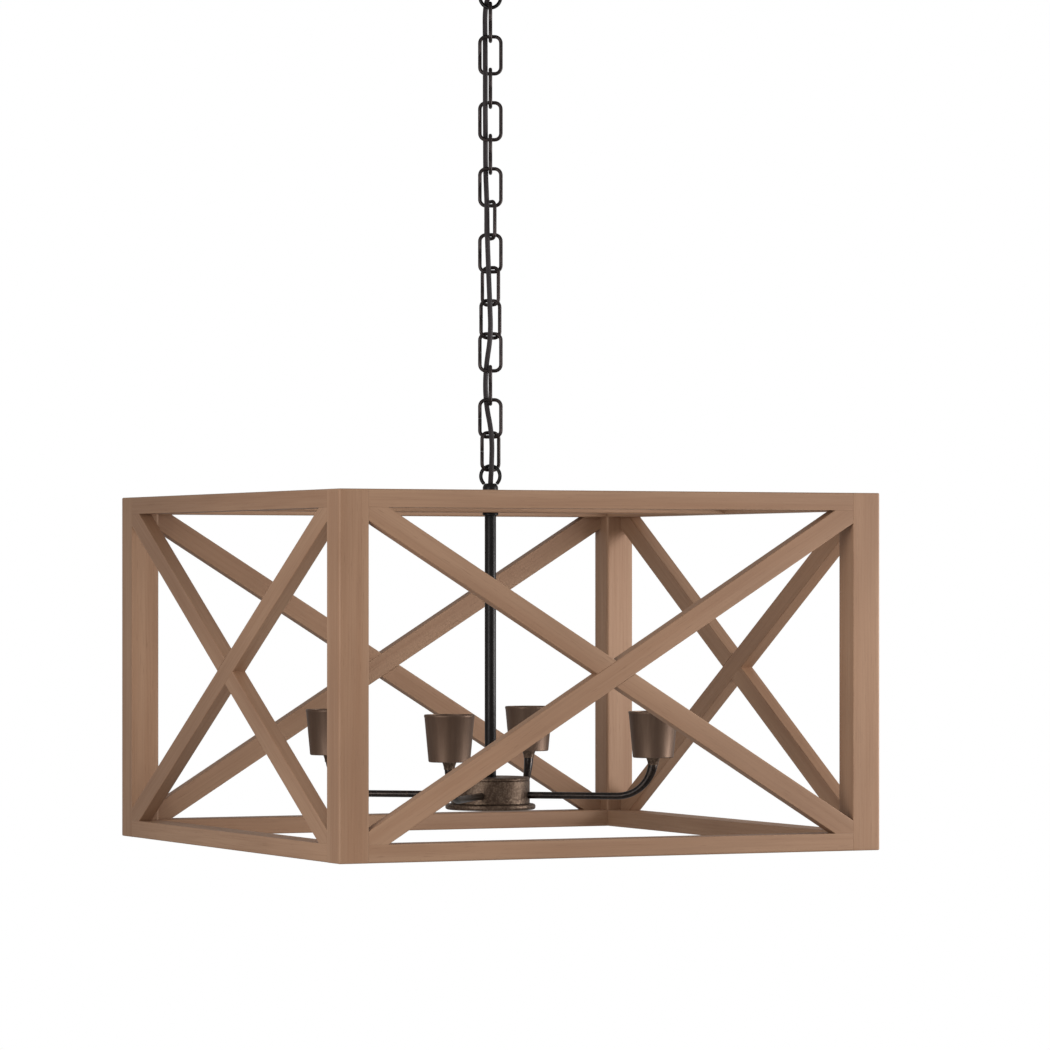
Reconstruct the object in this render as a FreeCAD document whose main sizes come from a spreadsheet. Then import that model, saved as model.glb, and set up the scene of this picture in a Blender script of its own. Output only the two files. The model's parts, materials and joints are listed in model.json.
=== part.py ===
"""Open wooden cage chandelier with four arms, hung from a ceiling canopy on a chain.

The frame: origin at the centre of the ceiling plane, +Z up, so the lamp hangs below it.
+X and +Y run along the sides of the square cage. All sizes are millimetres.
"""
import FreeCAD
import Part

import os
from math import cos, pi, tan

import Sketcher

from FreeCAD import Placement, Rotation, Vector

doc = FreeCAD.newDocument("chandelier")

# ---------------------------------------------------------------- sizes

DRIVING_SIZES = {
    # wooden cage
    "CageSide": 500, "CageHeight": 304, "PostWidth": 26, "PostRound": 2,
    "RailHeight": 15, "RailRound": 1.5,
    "BraceWidth": 18.5, "BraceThick": 12, "BraceRound": 1,
    "CrossbarWidth": 26, "TenonLength": 8, "TenonWidth": 8, "TenonHeight": 8,
    "JointClearance": 0.1,
    # stem and its collar under the crossbar
    "StemDiameter": 10, "StemBore": 7, "StemClearance": 0.2, "ThreadClearance": 0.05,
    "CollarDiameter": 14, "CollarHeight": 2.6, "StemSocketDepth": 6,
    # hanging loops
    "LoopBaseDiameter": 13.5, "LoopBaseHeight": 10.5, "LoopRise": 6.5,
    "LoopTaper": 3, "LoopNeckDiameter": 10,
    "LoopRingRadius": 8.9, "RingWire": 3.2, "LoopTurn": -20,
    # chain
    "LinkWire": 3.2, "LinkBarSpan": 32.4, "LinkSideSpan": 18.4, "LinkCorner": 5.5,
    "LinkGap": 0.3, "LinkCount": 14, "ChainTurn": -25.2,
    # cord
    "CordDiameter": 4.4, "CordClearance": 0.5, "CordSide": 5.4, "CordTuck": 5,
    "CordInside": 9,
    # hub
    "HubDiameter": 69, "HubHeight": 23.4, "HubWall": 2.5, "HubRound": 2,
    "BaseDiameter": 79, "BaseHeight": 5, "BaseRound": 1.6, "HubLift": 29.3,
    "BaseSpigot": 1.5,
    "HubNutWidth": 15, "HubNutHeight": 3.5, "RecessRadius": 10, "RecessDepth": 3.8,
    # arms
    "ArmDiameter": 6, "ArmBore": 4, "ArmLift": 42, "ArmReach": 145.6, "ArmBend": 32,
    "ArmTurn": -38.6, "ArmInside": 6, "ArmNutWidth": 10, "ArmNutHeight": 3, "ArmNutSeat": 0.6,
    "ArmClearance": 0.1, "ArmShort": 1,
    "FerruleTopDiameter": 12, "FerruleBottomDiameter": 8.6, "FerruleHeight": 6.5,
    "FerruleClearance": 0.4,
    # cups and lampholders
    "CupLift": 75.7, "CupHeight": 40.3, "CupTopDiameter": 43, "CupBottomDiameter": 35.5,
    "CupWall": 1.5,
    "HolderDiameter": 30, "HolderHeight": 33, "HolderFloor": 7,
    "ShellBore": 26.4, "ShellWall": 0.6, "ShellLip": 2,
    # ceiling canopy
    "CanopyDiameter": 127, "CanopyHeight": 24, "CanopyWall": 1.2, "CanopyTop": 34,
    "CanopyStep": 4, "CanopyShoulder": 54, "CanopyRimLift": 14,
    "NippleDiameter": 9.6, "CanopyCollarDiameter": 22, "CanopyCollarNose": 17,
    "CanopyCollarHeight": 6, "CanopyCollarBand": 3.5, "CanopyNutWidth": 15, "CanopyNutHeight": 3.5,
    "StrapLength": 106, "StrapWidth": 22, "StrapThick": 2.4,
    "SlotSpacing": 88.9, "SlotWidth": 5, "SlotLength": 9,
}

DERIVED_SIZES = {
    "HalfSide": "CageSide / 2",
    "HalfInner": "HalfSide - PostWidth",
    "InnerSide": "2 * HalfInner",
    "InnerHeight": "CageHeight - 2 * RailHeight",
    "RailMiddle": "HalfSide - PostWidth / 2",
    "TopRailLift": "CageHeight - RailHeight",
    "TenonSpan": "InnerSide + 2 * TenonLength",
    "TenonNear": "RailMiddle - TenonWidth / 2",
    "TenonFar": "RailMiddle + TenonWidth / 2",
    "TenonLow": "(RailHeight - TenonHeight) / 2",
    "TenonHigh": "(RailHeight + TenonHeight) / 2",
    "TopTenonLow": "TopRailLift + TenonLow",
    "TopTenonHigh": "TopRailLift + TenonHigh",
    "HalfTenon": "TenonWidth / 2",
    "MortiseLength": "TenonLength + JointClearance",
    "MortiseNear": "TenonNear - JointClearance",
    "MortiseFar": "TenonFar + JointClearance",
    "MortiseLow": "TenonLow - JointClearance",
    "MortiseHigh": "TenonHigh + JointClearance",
    "TopMortiseLow": "TopRailLift + MortiseLow",
    "TopMortiseHigh": "TopRailLift + MortiseHigh",
    "HalfMortise": "HalfTenon + JointClearance",
    "BraceSpan": "sqrt(InnerHeight * InnerHeight + InnerSide * InnerSide)",
    "BraceHeelAcross": "HalfInner - BraceWidth / 2 * BraceSpan / InnerHeight",
    "BraceToeLow": "RailHeight + BraceWidth / 2 * BraceSpan / InnerSide",
    "BraceToeHigh": "TopRailLift - BraceWidth / 2 * BraceSpan / InnerSide",
    "LapDepth": "BraceThick / 2",
    "LapPlane": "HalfSide - LapDepth",
    "HalfCrossbar": "CrossbarWidth / 2",
    "LinkHalfSide": "LinkSideSpan / 2",
    "LinkHalfBar": "LinkBarSpan / 2",
    "LinkCornerAcross": "LinkHalfSide - LinkCorner",
    "LinkCornerUp": "LinkHalfBar - LinkCorner",
    "LinkWireRadius": "LinkWire / 2",
    "LinkPitch": "LinkBarSpan - LinkWire - LinkGap",
    "RingReach": "LoopRingRadius - RingWire / 2 - LinkWire / 2 - LinkGap",
    "RingToRing": "2 * RingReach + LinkBarSpan + (LinkCount - 1) * LinkPitch",
    "CrossingLift": "RingReach + (LinkWire + LinkGap) / 2",
    "LoopHeight": "LoopBaseHeight + LoopRise",
    "LoopShoulder": "LoopBaseHeight - LoopTaper",
    "LoopBaseRadius": "LoopBaseDiameter / 2",
    "LoopNeck": "LoopNeckDiameter / 2",
    "RingWireRadius": "RingWire / 2",
    "CollarBottomDrop": "CanopyHeight + CanopyCollarHeight",
    "UpperRingDrop": "CollarBottomDrop + LoopHeight",
    "LowerRingDrop": "UpperRingDrop + RingToRing",
    "FirstLinkDrop": "LowerRingDrop - RingReach - LinkHalfBar",
    "CageTopDrop": "LowerRingDrop + LoopHeight",
    "CageBottomDrop": "CageTopDrop + CageHeight",
    "TopRailDrop": "CageTopDrop + RailHeight",
    "CordHole": "CordDiameter / 2 + CordClearance",
    "CordRadius": "CordDiameter / 2",
    "StemRadius": "StemDiameter / 2",
    "StemBoreRadius": "StemBore / 2",
    "StemHole": "StemRadius + StemClearance",
    "StemThread": "StemRadius + ThreadClearance",
    "StemLength": "CageHeight - HubLift + StemSocketDepth - ThreadClearance",
    "CollarRadius": "CollarDiameter / 2",
    "CollarDrop": "TopRailDrop + CollarHeight",
    "HubDrop": "CageBottomDrop - HubLift",
    "HubBodyDrop": "HubDrop - BaseHeight",
    "HubLockNutDrop": "HubBodyDrop - HubInnerTop + HubNutHeight",
    "HubRadius": "HubDiameter / 2",
    "HubInnerRadius": "HubRadius - HubWall",
    "HubInnerTop": "HubHeight - HubWall",
    "HubRim": "2 * pi * HubRadius",
    "BaseRadius": "BaseDiameter / 2",
    "BaseRim": "2 * pi * BaseRadius",
    "BaseSeat": "HubInnerRadius - JointClearance",
    "BaseTop": "BaseHeight + BaseSpigot",
    "ArmDrop": "CageBottomDrop - ArmLift",
    "ArmRadius": "ArmDiameter / 2",
    "ArmBoreRadius": "ArmBore / 2",
    "ArmHole": "ArmRadius + ArmClearance",
    "ArmThread": "ArmRadius + ThreadClearance",
    "ArmHoleLift": "ArmLift - HubLift - BaseHeight",
    "ArmNutPlace": "HubInnerRadius - ArmNutHeight - ArmNutSeat",
    "ArmStart": "HubInnerRadius - ArmInside",
    "ArmBendStart": "ArmReach - ArmBend",
    "ArmTop": "CupLift + CupWall + HolderFloor - ArmShort - ArmLift",
    "FerruleTopRadius": "FerruleTopDiameter / 2",
    "FerruleBottomRadius": "FerruleBottomDiameter / 2",
    "FerruleHole": "ArmRadius + FerruleClearance",
    "FerruleDrop": "CupDrop + FerruleHeight",
    "CupDrop": "CageBottomDrop - CupLift",
    "CupTopRadius": "CupTopDiameter / 2",
    "CupBottomRadius": "CupBottomDiameter / 2",
    "CupInnerTop": "CupTopRadius - CupWall",
    "CupInnerBottom": "CupBottomRadius - CupWall",
    "HolderDrop": "CupDrop - CupWall",
    "HolderRadius": "HolderDiameter / 2",
    "ShellInner": "ShellBore / 2",
    "ShellRadius": "ShellInner + ShellWall",
    "HolderSeat": "ShellRadius + ThreadClearance",
    "ShellHeight": "HolderHeight - HolderFloor",
    "ShellLipRadius": "ShellInner - ShellLip",
    "ShellDrop": "HolderDrop - HolderFloor",
    "CanopyRadius": "CanopyDiameter / 2",
    "CanopyInnerRadius": "CanopyRadius - CanopyWall",
    "CanopyInnerShoulder": "CanopyShoulder - CanopyWall / 2",
    "CanopyInnerStep": "CanopyStep + CanopyWall",
    "NippleRadius": "NippleDiameter / 2",
    "NippleHole": "NippleRadius + StemClearance",
    "NippleThread": "NippleRadius + ThreadClearance",
    "NippleAbove": "CollarBottomDrop - JointClearance",
    "CanopyCollarRadius": "CanopyCollarDiameter / 2",
    "CanopyCollarNoseRadius": "CanopyCollarNose / 2",
    "CanopyCollarFace": "CanopyCollarHeight - CanopyCollarBand",
    "CanopyNutDrop": "StrapThick + CanopyNutHeight",
    "HalfStrapLength": "StrapLength / 2",
    "HalfStrapWidth": "StrapWidth / 2",
    "SlotRadius": "SlotWidth / 2",
    "SlotInner": "(SlotSpacing - SlotLength + SlotWidth) / 2",
    "SlotOuter": "(SlotSpacing + SlotLength - SlotWidth) / 2",
}

sizes = doc.addObject("Spreadsheet::Sheet", "sizes")
for row, (name, value) in enumerate(DRIVING_SIZES.items(), start=1):
    sizes.set(f"A{row}", name)
    sizes.set(f"B{row}", str(value))
    sizes.setAlias(f"B{row}", name)
for row, (name, formula) in enumerate(DERIVED_SIZES.items(), start=1):
    sizes.set(f"C{row}", name)
    sizes.set(f"D{row}", f"={formula}")
    sizes.setAlias(f"D{row}", name)
doc.recompute()


def size(name):
    """The number that a name in the sheet stands for; a leading minus sign is allowed."""
    if name == "0":
        return 0.0
    if name.startswith("-"):
        return -size(name[1:])
    value = sizes.get(name)
    return float(getattr(value, "Value", value))


def bound(name):
    """The expression that ties a property to a name in the sheet."""
    if name.startswith("-"):
        return f"-sizes.{name[1:]}"
    return f"sizes.{name}"


# ---------------------------------------------------------------- building helpers

def new_body(label, drop=None, turn=0.0):
    """A body hung the named drop below the ceiling and turned about the lamp's axis."""
    body = doc.addObject("PartDesign::Body", label)
    body.Label = label
    height = -size(drop) if drop else 0.0
    body.Placement = Placement(Vector(0, 0, height), Rotation(Vector(0, 0, 1), turn))
    if drop:
        body.setExpression("Placement.Base.z", f"-sizes.{drop}")
    return body


def new_sketch(body, plane, lift=None):
    """A sketch on one of the body's own origin planes, lifted off it by a named size."""
    sketch = body.newObject("Sketcher::SketchObject", body.Name + "_sketch")
    support = next(item for item in body.Origin.OriginFeatures if item.Role == plane)
    sketch.AttachmentSupport = [(support, "")]
    sketch.MapMode = "FlatFace"
    if lift:
        sketch.AttachmentOffset = Placement(Vector(0, 0, size(lift)), Rotation())
        sketch.setExpression("AttachmentOffset.Base.z", bound(lift))
    return sketch


def tie_point(sketch, geometry, point, place):
    """Fix a point of the sketch at two named distances from the sketch's origin."""
    for name, kind, axis in zip(place, ("DistanceX", "DistanceY"), (-2, -1)):
        if name == "0":
            sketch.addConstraint(Sketcher.Constraint("PointOnObject", geometry, point, axis))
        else:
            index = sketch.addConstraint(
                Sketcher.Constraint(kind, -1, 1, geometry, point, size(name)))
            sketch.setExpression(f"Constraints[{index}]", bound(name))


def draw_outline(sketch, places):
    """A closed polygon through places, each a pair of names from the sheet."""
    corners = [Vector(size(across), size(up), 0) for across, up in places]
    first = sketch.GeometryCount
    for start, end in zip(corners, corners[1:] + corners[:1]):
        sketch.addGeometry(Part.LineSegment(start, end), False)
    for step in range(len(places)):
        following = first + (step + 1) % len(places)
        sketch.addConstraint(Sketcher.Constraint("Coincident", first + step, 2, following, 1))
    for step, place in enumerate(places):
        tie_point(sketch, first + step, 1, place)


def draw_rectangle(sketch, low, high):
    """A closed rectangle between two corners."""
    draw_outline(sketch, [low, (high[0], low[1]), high, (low[0], high[1])])


def draw_circle(sketch, place, radius):
    """A circle of a named radius about a named place."""
    centre = Vector(size(place[0]), size(place[1]), 0)
    index = sketch.addGeometry(Part.Circle(centre, Vector(0, 0, 1), size(radius)), False)
    tie_point(sketch, index, 3, place)
    constraint = sketch.addConstraint(Sketcher.Constraint("Radius", index, size(radius)))
    sketch.setExpression(f"Constraints[{constraint}]", bound(radius))


def draw_hexagon(sketch, width):
    """A hexagon of a named width across its flats, drawn as a polygon about the origin."""
    radius = size(width) / 3 ** 0.5
    corners = [Rotation(Vector(0, 0, 1), 60 * step).multVec(Vector(radius, 0, 0))
               for step in range(6)]
    for start, end in zip(corners, corners[1:] + corners[:1]):
        sketch.addGeometry(Part.LineSegment(start, end), False)
    guide = sketch.addGeometry(Part.Circle(Vector(), Vector(0, 0, 1), radius), True)
    sketch.addConstraint(Sketcher.Constraint("Coincident", guide, 3, -1, 1))
    for step in range(6):
        sketch.addConstraint(Sketcher.Constraint("Coincident", step, 2, (step + 1) % 6, 1))
        sketch.addConstraint(Sketcher.Constraint("PointOnObject", step, 1, guide))
        if step:
            sketch.addConstraint(Sketcher.Constraint("Equal", 0, step))
    sketch.addConstraint(Sketcher.Constraint("PointOnObject", 0, 1, -1))
    constraint = sketch.addConstraint(Sketcher.Constraint("Radius", guide, radius))
    sketch.setExpression(f"Constraints[{constraint}]", f"sizes.{width} / sqrt(3)")


def pad(body, sketch, length, middle=False):
    """Material as deep as a named length, up from the sketch or to both sides of it."""
    feature = body.newObject("PartDesign::Pad", body.Name + "_pad")
    feature.Profile = sketch
    feature.Length = size(length)
    feature.setExpression("Length", bound(length))
    feature.Midplane = middle
    return feature


def pocket(body, sketch, length=None, reverse=False, middle=False):
    """A cut as deep as a named length, or right through the body if none is given."""
    feature = body.newObject("PartDesign::Pocket", body.Name + "_cut")
    feature.Profile = sketch
    if length:
        feature.Length = size(length)
        feature.setExpression("Length", bound(length))
    else:
        feature.Type = "ThroughAll"
    feature.Reversed = reverse
    feature.Midplane = middle
    return feature


def revolve(body, sketch, axis="V_Axis"):
    """Material made by a full turn of the sketch about one of its own axes."""
    feature = body.newObject("PartDesign::Revolution", body.Name + "_turned")
    feature.Profile = sketch
    feature.ReferenceAxis = (sketch, [axis])
    feature.Angle = 360
    return feature


def sweep(body, profile, path):
    """Material made by a profile carried along a path."""
    feature = body.newObject("PartDesign::AdditivePipe", body.Name + "_pipe")
    feature.Profile = profile
    feature.Spine = (path, [f"Edge{count + 1}" for count in range(path.GeometryCount)])
    return feature


def round_edges(body, base, radius, wanted):
    """Round the edges of base that the test picks."""
    doc.recompute()
    names = [f"Edge{count}" for count, edge in enumerate(base.Shape.Edges, start=1)
             if wanted(edge)]
    feature = body.newObject("PartDesign::Fillet", body.Name + "_round")
    feature.Base = (base, names)
    feature.Radius = size(radius)
    feature.setExpression("Radius", bound(radius))
    return feature


def runs_along(edge, direction):
    """Whether a straight edge runs along a direction."""
    if edge.Curve.TypeId != "Part::GeomLine":
        return False
    ends = [vertex.Point for vertex in edge.Vertexes]
    return (ends[1] - ends[0]).normalize().cross(direction).Length < 1e-6


def turned_body(label, drop, places, turn=0.0):
    """A body of revolution from the outline of half its section."""
    body = new_body(label, drop, turn)
    sketch = new_sketch(body, "XZ_Plane")
    draw_outline(sketch, places)
    revolve(body, sketch)
    return body


def nut(label, drop, width, height, hole):
    """A hexagon nut with a plain hole."""
    body = new_body(label, drop)
    sketch = new_sketch(body, "XY_Plane")
    draw_hexagon(sketch, width)
    draw_circle(sketch, ("0", "0"), hole)
    pad(body, sketch, height)
    return body


def group(label, pattern, placements):
    """Several equal solids in one node, each a copy of the pattern body's solid."""
    doc.recompute()
    feature = doc.addObject("Part::Feature", label)
    feature.Label = label
    feature.Shape = Part.makeCompound([shape_at(pattern, place) for place in placements])
    return feature


def shape_at(pattern, place):
    """A copy of a body's solid moved by a placement."""
    shape = pattern.Shape.Solids[0].copy()
    shape.Placement = place.multiply(shape.Placement)
    return shape


# ---------------------------------------------------------------- wooden cage

POSTS = {"back_right": 0, "back_left": 90, "front_left": 180, "front_right": 270}
SIDES = {"front": 0, "right": 90, "back": 180, "left": 270}
UP = Vector(0, 0, 1)
ACROSS = Vector(1, 0, 0)


def corner_post(name, turn):
    """A full-height post with a mortise for each of the four rail ends that meet it."""
    body = new_body(f"corner_post_{name}", "CageBottomDrop", turn)
    sketch = new_sketch(body, "XY_Plane")
    draw_rectangle(sketch, ("HalfInner", "HalfInner"), ("HalfSide", "HalfSide"))
    stick = pad(body, sketch, "CageHeight")
    round_edges(body, stick, "PostRound", lambda edge: runs_along(edge, UP))
    for plane, lift, reverse in (("YZ_Plane", "HalfInner", True),
                                 ("XZ_Plane", "-HalfInner", False)):
        sketch = new_sketch(body, plane, lift)
        draw_rectangle(sketch, ("MortiseNear", "MortiseLow"), ("MortiseFar", "MortiseHigh"))
        draw_rectangle(sketch, ("MortiseNear", "TopMortiseLow"),
                       ("MortiseFar", "TopMortiseHigh"))
        pocket(body, sketch, "MortiseLength", reverse)


def rail(name, level, drop, turn, holds_crossbar):
    """A rail between two posts, with a stub tenon at each end."""
    body = new_body(f"{level}_rail_{name}", drop, turn)
    sketch = new_sketch(body, "YZ_Plane")
    draw_rectangle(sketch, ("-HalfSide", "0"), ("-HalfInner", "RailHeight"))
    stick = pad(body, sketch, "InnerSide", middle=True)
    round_edges(body, stick, "RailRound", lambda edge: runs_along(edge, ACROSS))
    sketch = new_sketch(body, "YZ_Plane")
    draw_rectangle(sketch, ("-TenonFar", "TenonLow"), ("-TenonNear", "TenonHigh"))
    pad(body, sketch, "TenonSpan", middle=True)
    if holds_crossbar:
        sketch = new_sketch(body, "XZ_Plane", "HalfInner")
        draw_rectangle(sketch, ("-HalfMortise", "MortiseLow"), ("HalfMortise", "MortiseHigh"))
        pocket(body, sketch, "MortiseLength", reverse=True)


RISING = [("-HalfInner", "RailHeight"), ("-BraceHeelAcross", "RailHeight"),
          ("HalfInner", "BraceToeHigh"), ("HalfInner", "TopRailLift"),
          ("BraceHeelAcross", "TopRailLift"), ("-HalfInner", "BraceToeLow")]
FALLING = [("HalfInner", "RailHeight"), ("BraceHeelAcross", "RailHeight"),
           ("-HalfInner", "BraceToeHigh"), ("-HalfInner", "TopRailLift"),
           ("-BraceHeelAcross", "TopRailLift"), ("HalfInner", "BraceToeLow")]


def brace(name, direction, turn):
    """One diagonal of a side, cut to a point at both ends and half-lapped at the crossing."""
    rising = direction == "rising"
    body = new_body(f"brace_{name}_{direction}", "CageBottomDrop", turn)
    sketch = new_sketch(body, "XZ_Plane", "HalfSide")
    draw_outline(sketch, RISING if rising else FALLING)
    board = pad(body, sketch, "BraceThick")
    board.Reversed = True
    along = Vector(size("InnerSide"), 0, size("InnerHeight") * (1 if rising else -1))
    round_edges(body, board, "BraceRound", lambda edge: runs_along(edge, along.normalize()))
    sketch = new_sketch(body, "XZ_Plane", "LapPlane" if rising else "HalfSide")
    draw_outline(sketch, FALLING if rising else RISING)
    pocket(body, sketch, "LapDepth")


def crossbar():
    """The bar across the top that the whole lamp hangs by, bored for the stem."""
    body = new_body("crossbar", "CageBottomDrop")
    sketch = new_sketch(body, "YZ_Plane")
    draw_rectangle(sketch, ("-HalfCrossbar", "TopRailLift"), ("HalfCrossbar", "CageHeight"))
    stick = pad(body, sketch, "InnerSide", middle=True)
    round_edges(body, stick, "RailRound", lambda edge: runs_along(edge, ACROSS))
    sketch = new_sketch(body, "YZ_Plane")
    draw_rectangle(sketch, ("-HalfTenon", "TopTenonLow"), ("HalfTenon", "TopTenonHigh"))
    pad(body, sketch, "TenonSpan", middle=True)
    sketch = new_sketch(body, "XY_Plane")
    draw_circle(sketch, ("0", "0"), "StemHole")
    pocket(body, sketch, "CageHeight", reverse=True)


for name, turn in POSTS.items():
    corner_post(name, turn)
for name, turn in SIDES.items():
    rail(name, "bottom", "CageBottomDrop", turn, False)
    rail(name, "top", "TopRailDrop", turn, name in ("left", "right"))
    brace(name, "rising", turn)
    brace(name, "falling", turn)
crossbar()


# ---------------------------------------------------------------- stem and hub

turned_body("stem", "HubDrop", [("StemBoreRadius", "0"), ("StemRadius", "0"),
                                ("StemRadius", "StemLength"), ("StemBoreRadius", "StemLength")])
turned_body("stem_collar", "CollarDrop",
            [("StemThread", "0"), ("CollarRadius", "0"),
             ("CollarRadius", "CollarHeight"), ("StemThread", "CollarHeight")])


def hub_body():
    """The cast hub cover: a bell open below, with a rounded top edge and four arm holes."""
    body = new_body("hub_body", "HubBodyDrop")
    sketch = new_sketch(body, "XZ_Plane")
    draw_outline(sketch, [("StemHole", "HubInnerTop"), ("HubInnerRadius", "HubInnerTop"),
                          ("HubInnerRadius", "0"), ("HubRadius", "0"),
                          ("HubRadius", "HubHeight"), ("StemHole", "HubHeight")])
    bell = revolve(body, sketch)
    round_edges(body, bell, "HubRound", lambda edge: abs(edge.Length - size("HubRim")) < 0.1
                and edge.BoundBox.ZMin > size("HubInnerTop"))
    for turn in (0, 90):
        sketch = new_sketch(body, "XZ_Plane")
        sketch.AttachmentOffset = Placement(
            Vector(0, 0, 0), Rotation(Vector(0, 1, 0), size("ArmTurn") + turn + 90))
        draw_circle(sketch, ("0", "ArmHoleLift"), "ArmHole")
        pocket(body, sketch, "BaseDiameter", middle=True)


hub_body()
base = turned_body("hub_base", "HubDrop",
                   [("StemHole", "RecessDepth"), ("RecessRadius", "RecessDepth"),
                    ("RecessRadius", "0"), ("BaseRadius", "0"), ("BaseRadius", "BaseHeight"),
                    ("BaseSeat", "BaseHeight"), ("BaseSeat", "BaseTop"),
                    ("StemHole", "BaseTop")])
round_edges(base, base.Tip, "BaseRound",
            lambda edge: abs(edge.Length - size("BaseRim")) < 0.1)
nut("hub_nut", "HubDrop", "HubNutWidth", "HubNutHeight", "StemThread")
nut("hub_lock_nut", "HubLockNutDrop", "HubNutWidth", "HubNutHeight", "StemThread")


# ---------------------------------------------------------------- arms, cups, lampholders

ARM_TURNS = [size("ArmTurn") + 90 * count for count in range(4)]


def arm(count, turn):
    """A tube that leaves the hub level and bends up through the bottom of its cup."""
    body = new_body(f"arm_{count}", "ArmDrop", turn)
    path = new_sketch(body, "XZ_Plane")
    start, bend = size("ArmStart"), size("ArmBendStart")
    reach, radius, top = size("ArmReach"), size("ArmBend"), size("ArmTop")
    path.addGeometry(Part.LineSegment(Vector(start, 0, 0), Vector(bend, 0, 0)), False)
    middle = Vector(bend, radius, 0) + Rotation(UP, -45).multVec(Vector(radius, 0, 0))
    path.addGeometry(Part.Arc(Vector(bend, 0, 0), middle, Vector(reach, radius, 0)), False)
    path.addGeometry(Part.LineSegment(Vector(reach, radius, 0), Vector(reach, top, 0)), False)
    path.addConstraint(Sketcher.Constraint("Tangent", 0, 2, 1, 1))
    path.addConstraint(Sketcher.Constraint("Tangent", 1, 2, 2, 1))
    tie_point(path, 0, 1, ("ArmStart", "0"))
    tie_point(path, 0, 2, ("ArmBendStart", "0"))
    tie_point(path, 2, 2, ("ArmReach", "ArmTop"))
    path.addConstraint(Sketcher.Constraint("Vertical", 2))
    profile = new_sketch(body, "YZ_Plane", "ArmStart")
    draw_circle(profile, ("0", "0"), "ArmRadius")
    draw_circle(profile, ("0", "0"), "ArmBoreRadius")
    sweep(body, profile, path)


def at_reach(drop, turn):
    """The place on an arm's own circle at a named drop below the ceiling."""
    return Placement(Vector(0, 0, -size(drop)), Rotation(UP, turn)).multiply(
        Placement(Vector(size("ArmReach"), 0, 0), Rotation()))


def seat_on_arm(body, drop, turn):
    """Hang a finished body over an arm's end, tied to the arm's reach and its own drop."""
    body.Placement = at_reach(drop, turn)
    for axis, function in (("x", "cos"), ("y", "sin")):
        body.setExpression(f"Placement.Base.{axis}",
                           f"sizes.ArmReach * {function}({turn - size('ArmTurn')} + sizes.ArmTurn)")
    body.setExpression("Placement.Base.z", f"-sizes.{drop}")


for count, turn in enumerate(ARM_TURNS, start=1):
    arm(count, turn)
    cup = turned_body(f"cup_{count}", None,
                      [("ArmHole", "0"), ("CupBottomRadius", "0"), ("CupTopRadius", "CupHeight"),
                       ("CupInnerTop", "CupHeight"), ("CupInnerBottom", "CupWall"),
                       ("ArmHole", "CupWall")])
    seat_on_arm(cup, "CupDrop", turn)
    holder = turned_body(f"lampholder_{count}", None,
                         [("ArmThread", "0"), ("HolderRadius", "0"),
                          ("HolderRadius", "HolderHeight"), ("HolderSeat", "HolderHeight"),
                          ("HolderSeat", "HolderFloor"), ("ArmThread", "HolderFloor")])
    seat_on_arm(holder, "HolderDrop", turn)

shell = turned_body("screw_shell_pattern", None,
                    [("ShellLipRadius", "0"), ("ShellRadius", "0"), ("ShellRadius", "ShellHeight"),
                     ("ShellInner", "ShellHeight"), ("ShellInner", "ShellWall"),
                     ("ShellLipRadius", "ShellWall")])
ferrule = turned_body("ferrule_pattern", None,
                      [("FerruleHole", "0"), ("FerruleBottomRadius", "0"),
                       ("FerruleTopRadius", "FerruleHeight"), ("FerruleHole", "FerruleHeight")])
arm_nut = nut("arm_nut_pattern", None, "ArmNutWidth", "ArmNutHeight", "ArmThread")
group("screw_shells", shell, [at_reach("ShellDrop", turn) for turn in ARM_TURNS])
group("arm_ferrules", ferrule, [at_reach("FerruleDrop", turn) for turn in ARM_TURNS])
group("arm_nuts", arm_nut,
      [Placement(Vector(0, 0, -size("ArmDrop")), Rotation(UP, turn)).multiply(
          Placement(Vector(size("ArmNutPlace"), 0, 0), Rotation(Vector(0, 1, 0), 90)))
       for turn in ARM_TURNS])


# ---------------------------------------------------------------- loops and canopy

def loop(label, drop, upside_down):
    """A hanging loop: a ring on a turned base that is drilled for the cord."""
    body = new_body(label)
    sketch = new_sketch(body, "XZ_Plane")
    outside = [("LoopBaseRadius", "0"), ("LoopBaseRadius", "LoopShoulder"),
               ("LoopNeck", "LoopBaseHeight"), ("CordHole", "LoopBaseHeight")]
    if upside_down:
        shank = [("CordHole", "-NippleAbove"), ("NippleRadius", "-NippleAbove"),
                 ("NippleRadius", "0")]
        draw_outline(sketch, shank + outside)
    else:
        socket = [("CordHole", "StemSocketDepth"), ("StemThread", "StemSocketDepth"),
                  ("StemThread", "0")]
        draw_outline(sketch, outside + socket)
    revolve(body, sketch)
    sketch = new_sketch(body, "XY_Plane", "LoopHeight")
    draw_circle(sketch, ("LoopRingRadius", "0"), "RingWireRadius")
    revolve(body, sketch)
    sketch = new_sketch(body, "XY_Plane", "LoopHeight")
    draw_circle(sketch, ("0", "0"), "CordHole")
    pocket(body, sketch, "LoopHeight")
    turn = size("ChainTurn") + (0 if upside_down else size("LoopTurn"))
    flip = Rotation(Vector(1, 0, 0), 180 if upside_down else 0)
    body.Placement = Placement(Vector(0, 0, -size(drop)), Rotation(UP, turn).multiply(flip))
    body.setExpression("Placement.Base.z", f"-sizes.{drop}")
    return body


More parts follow.
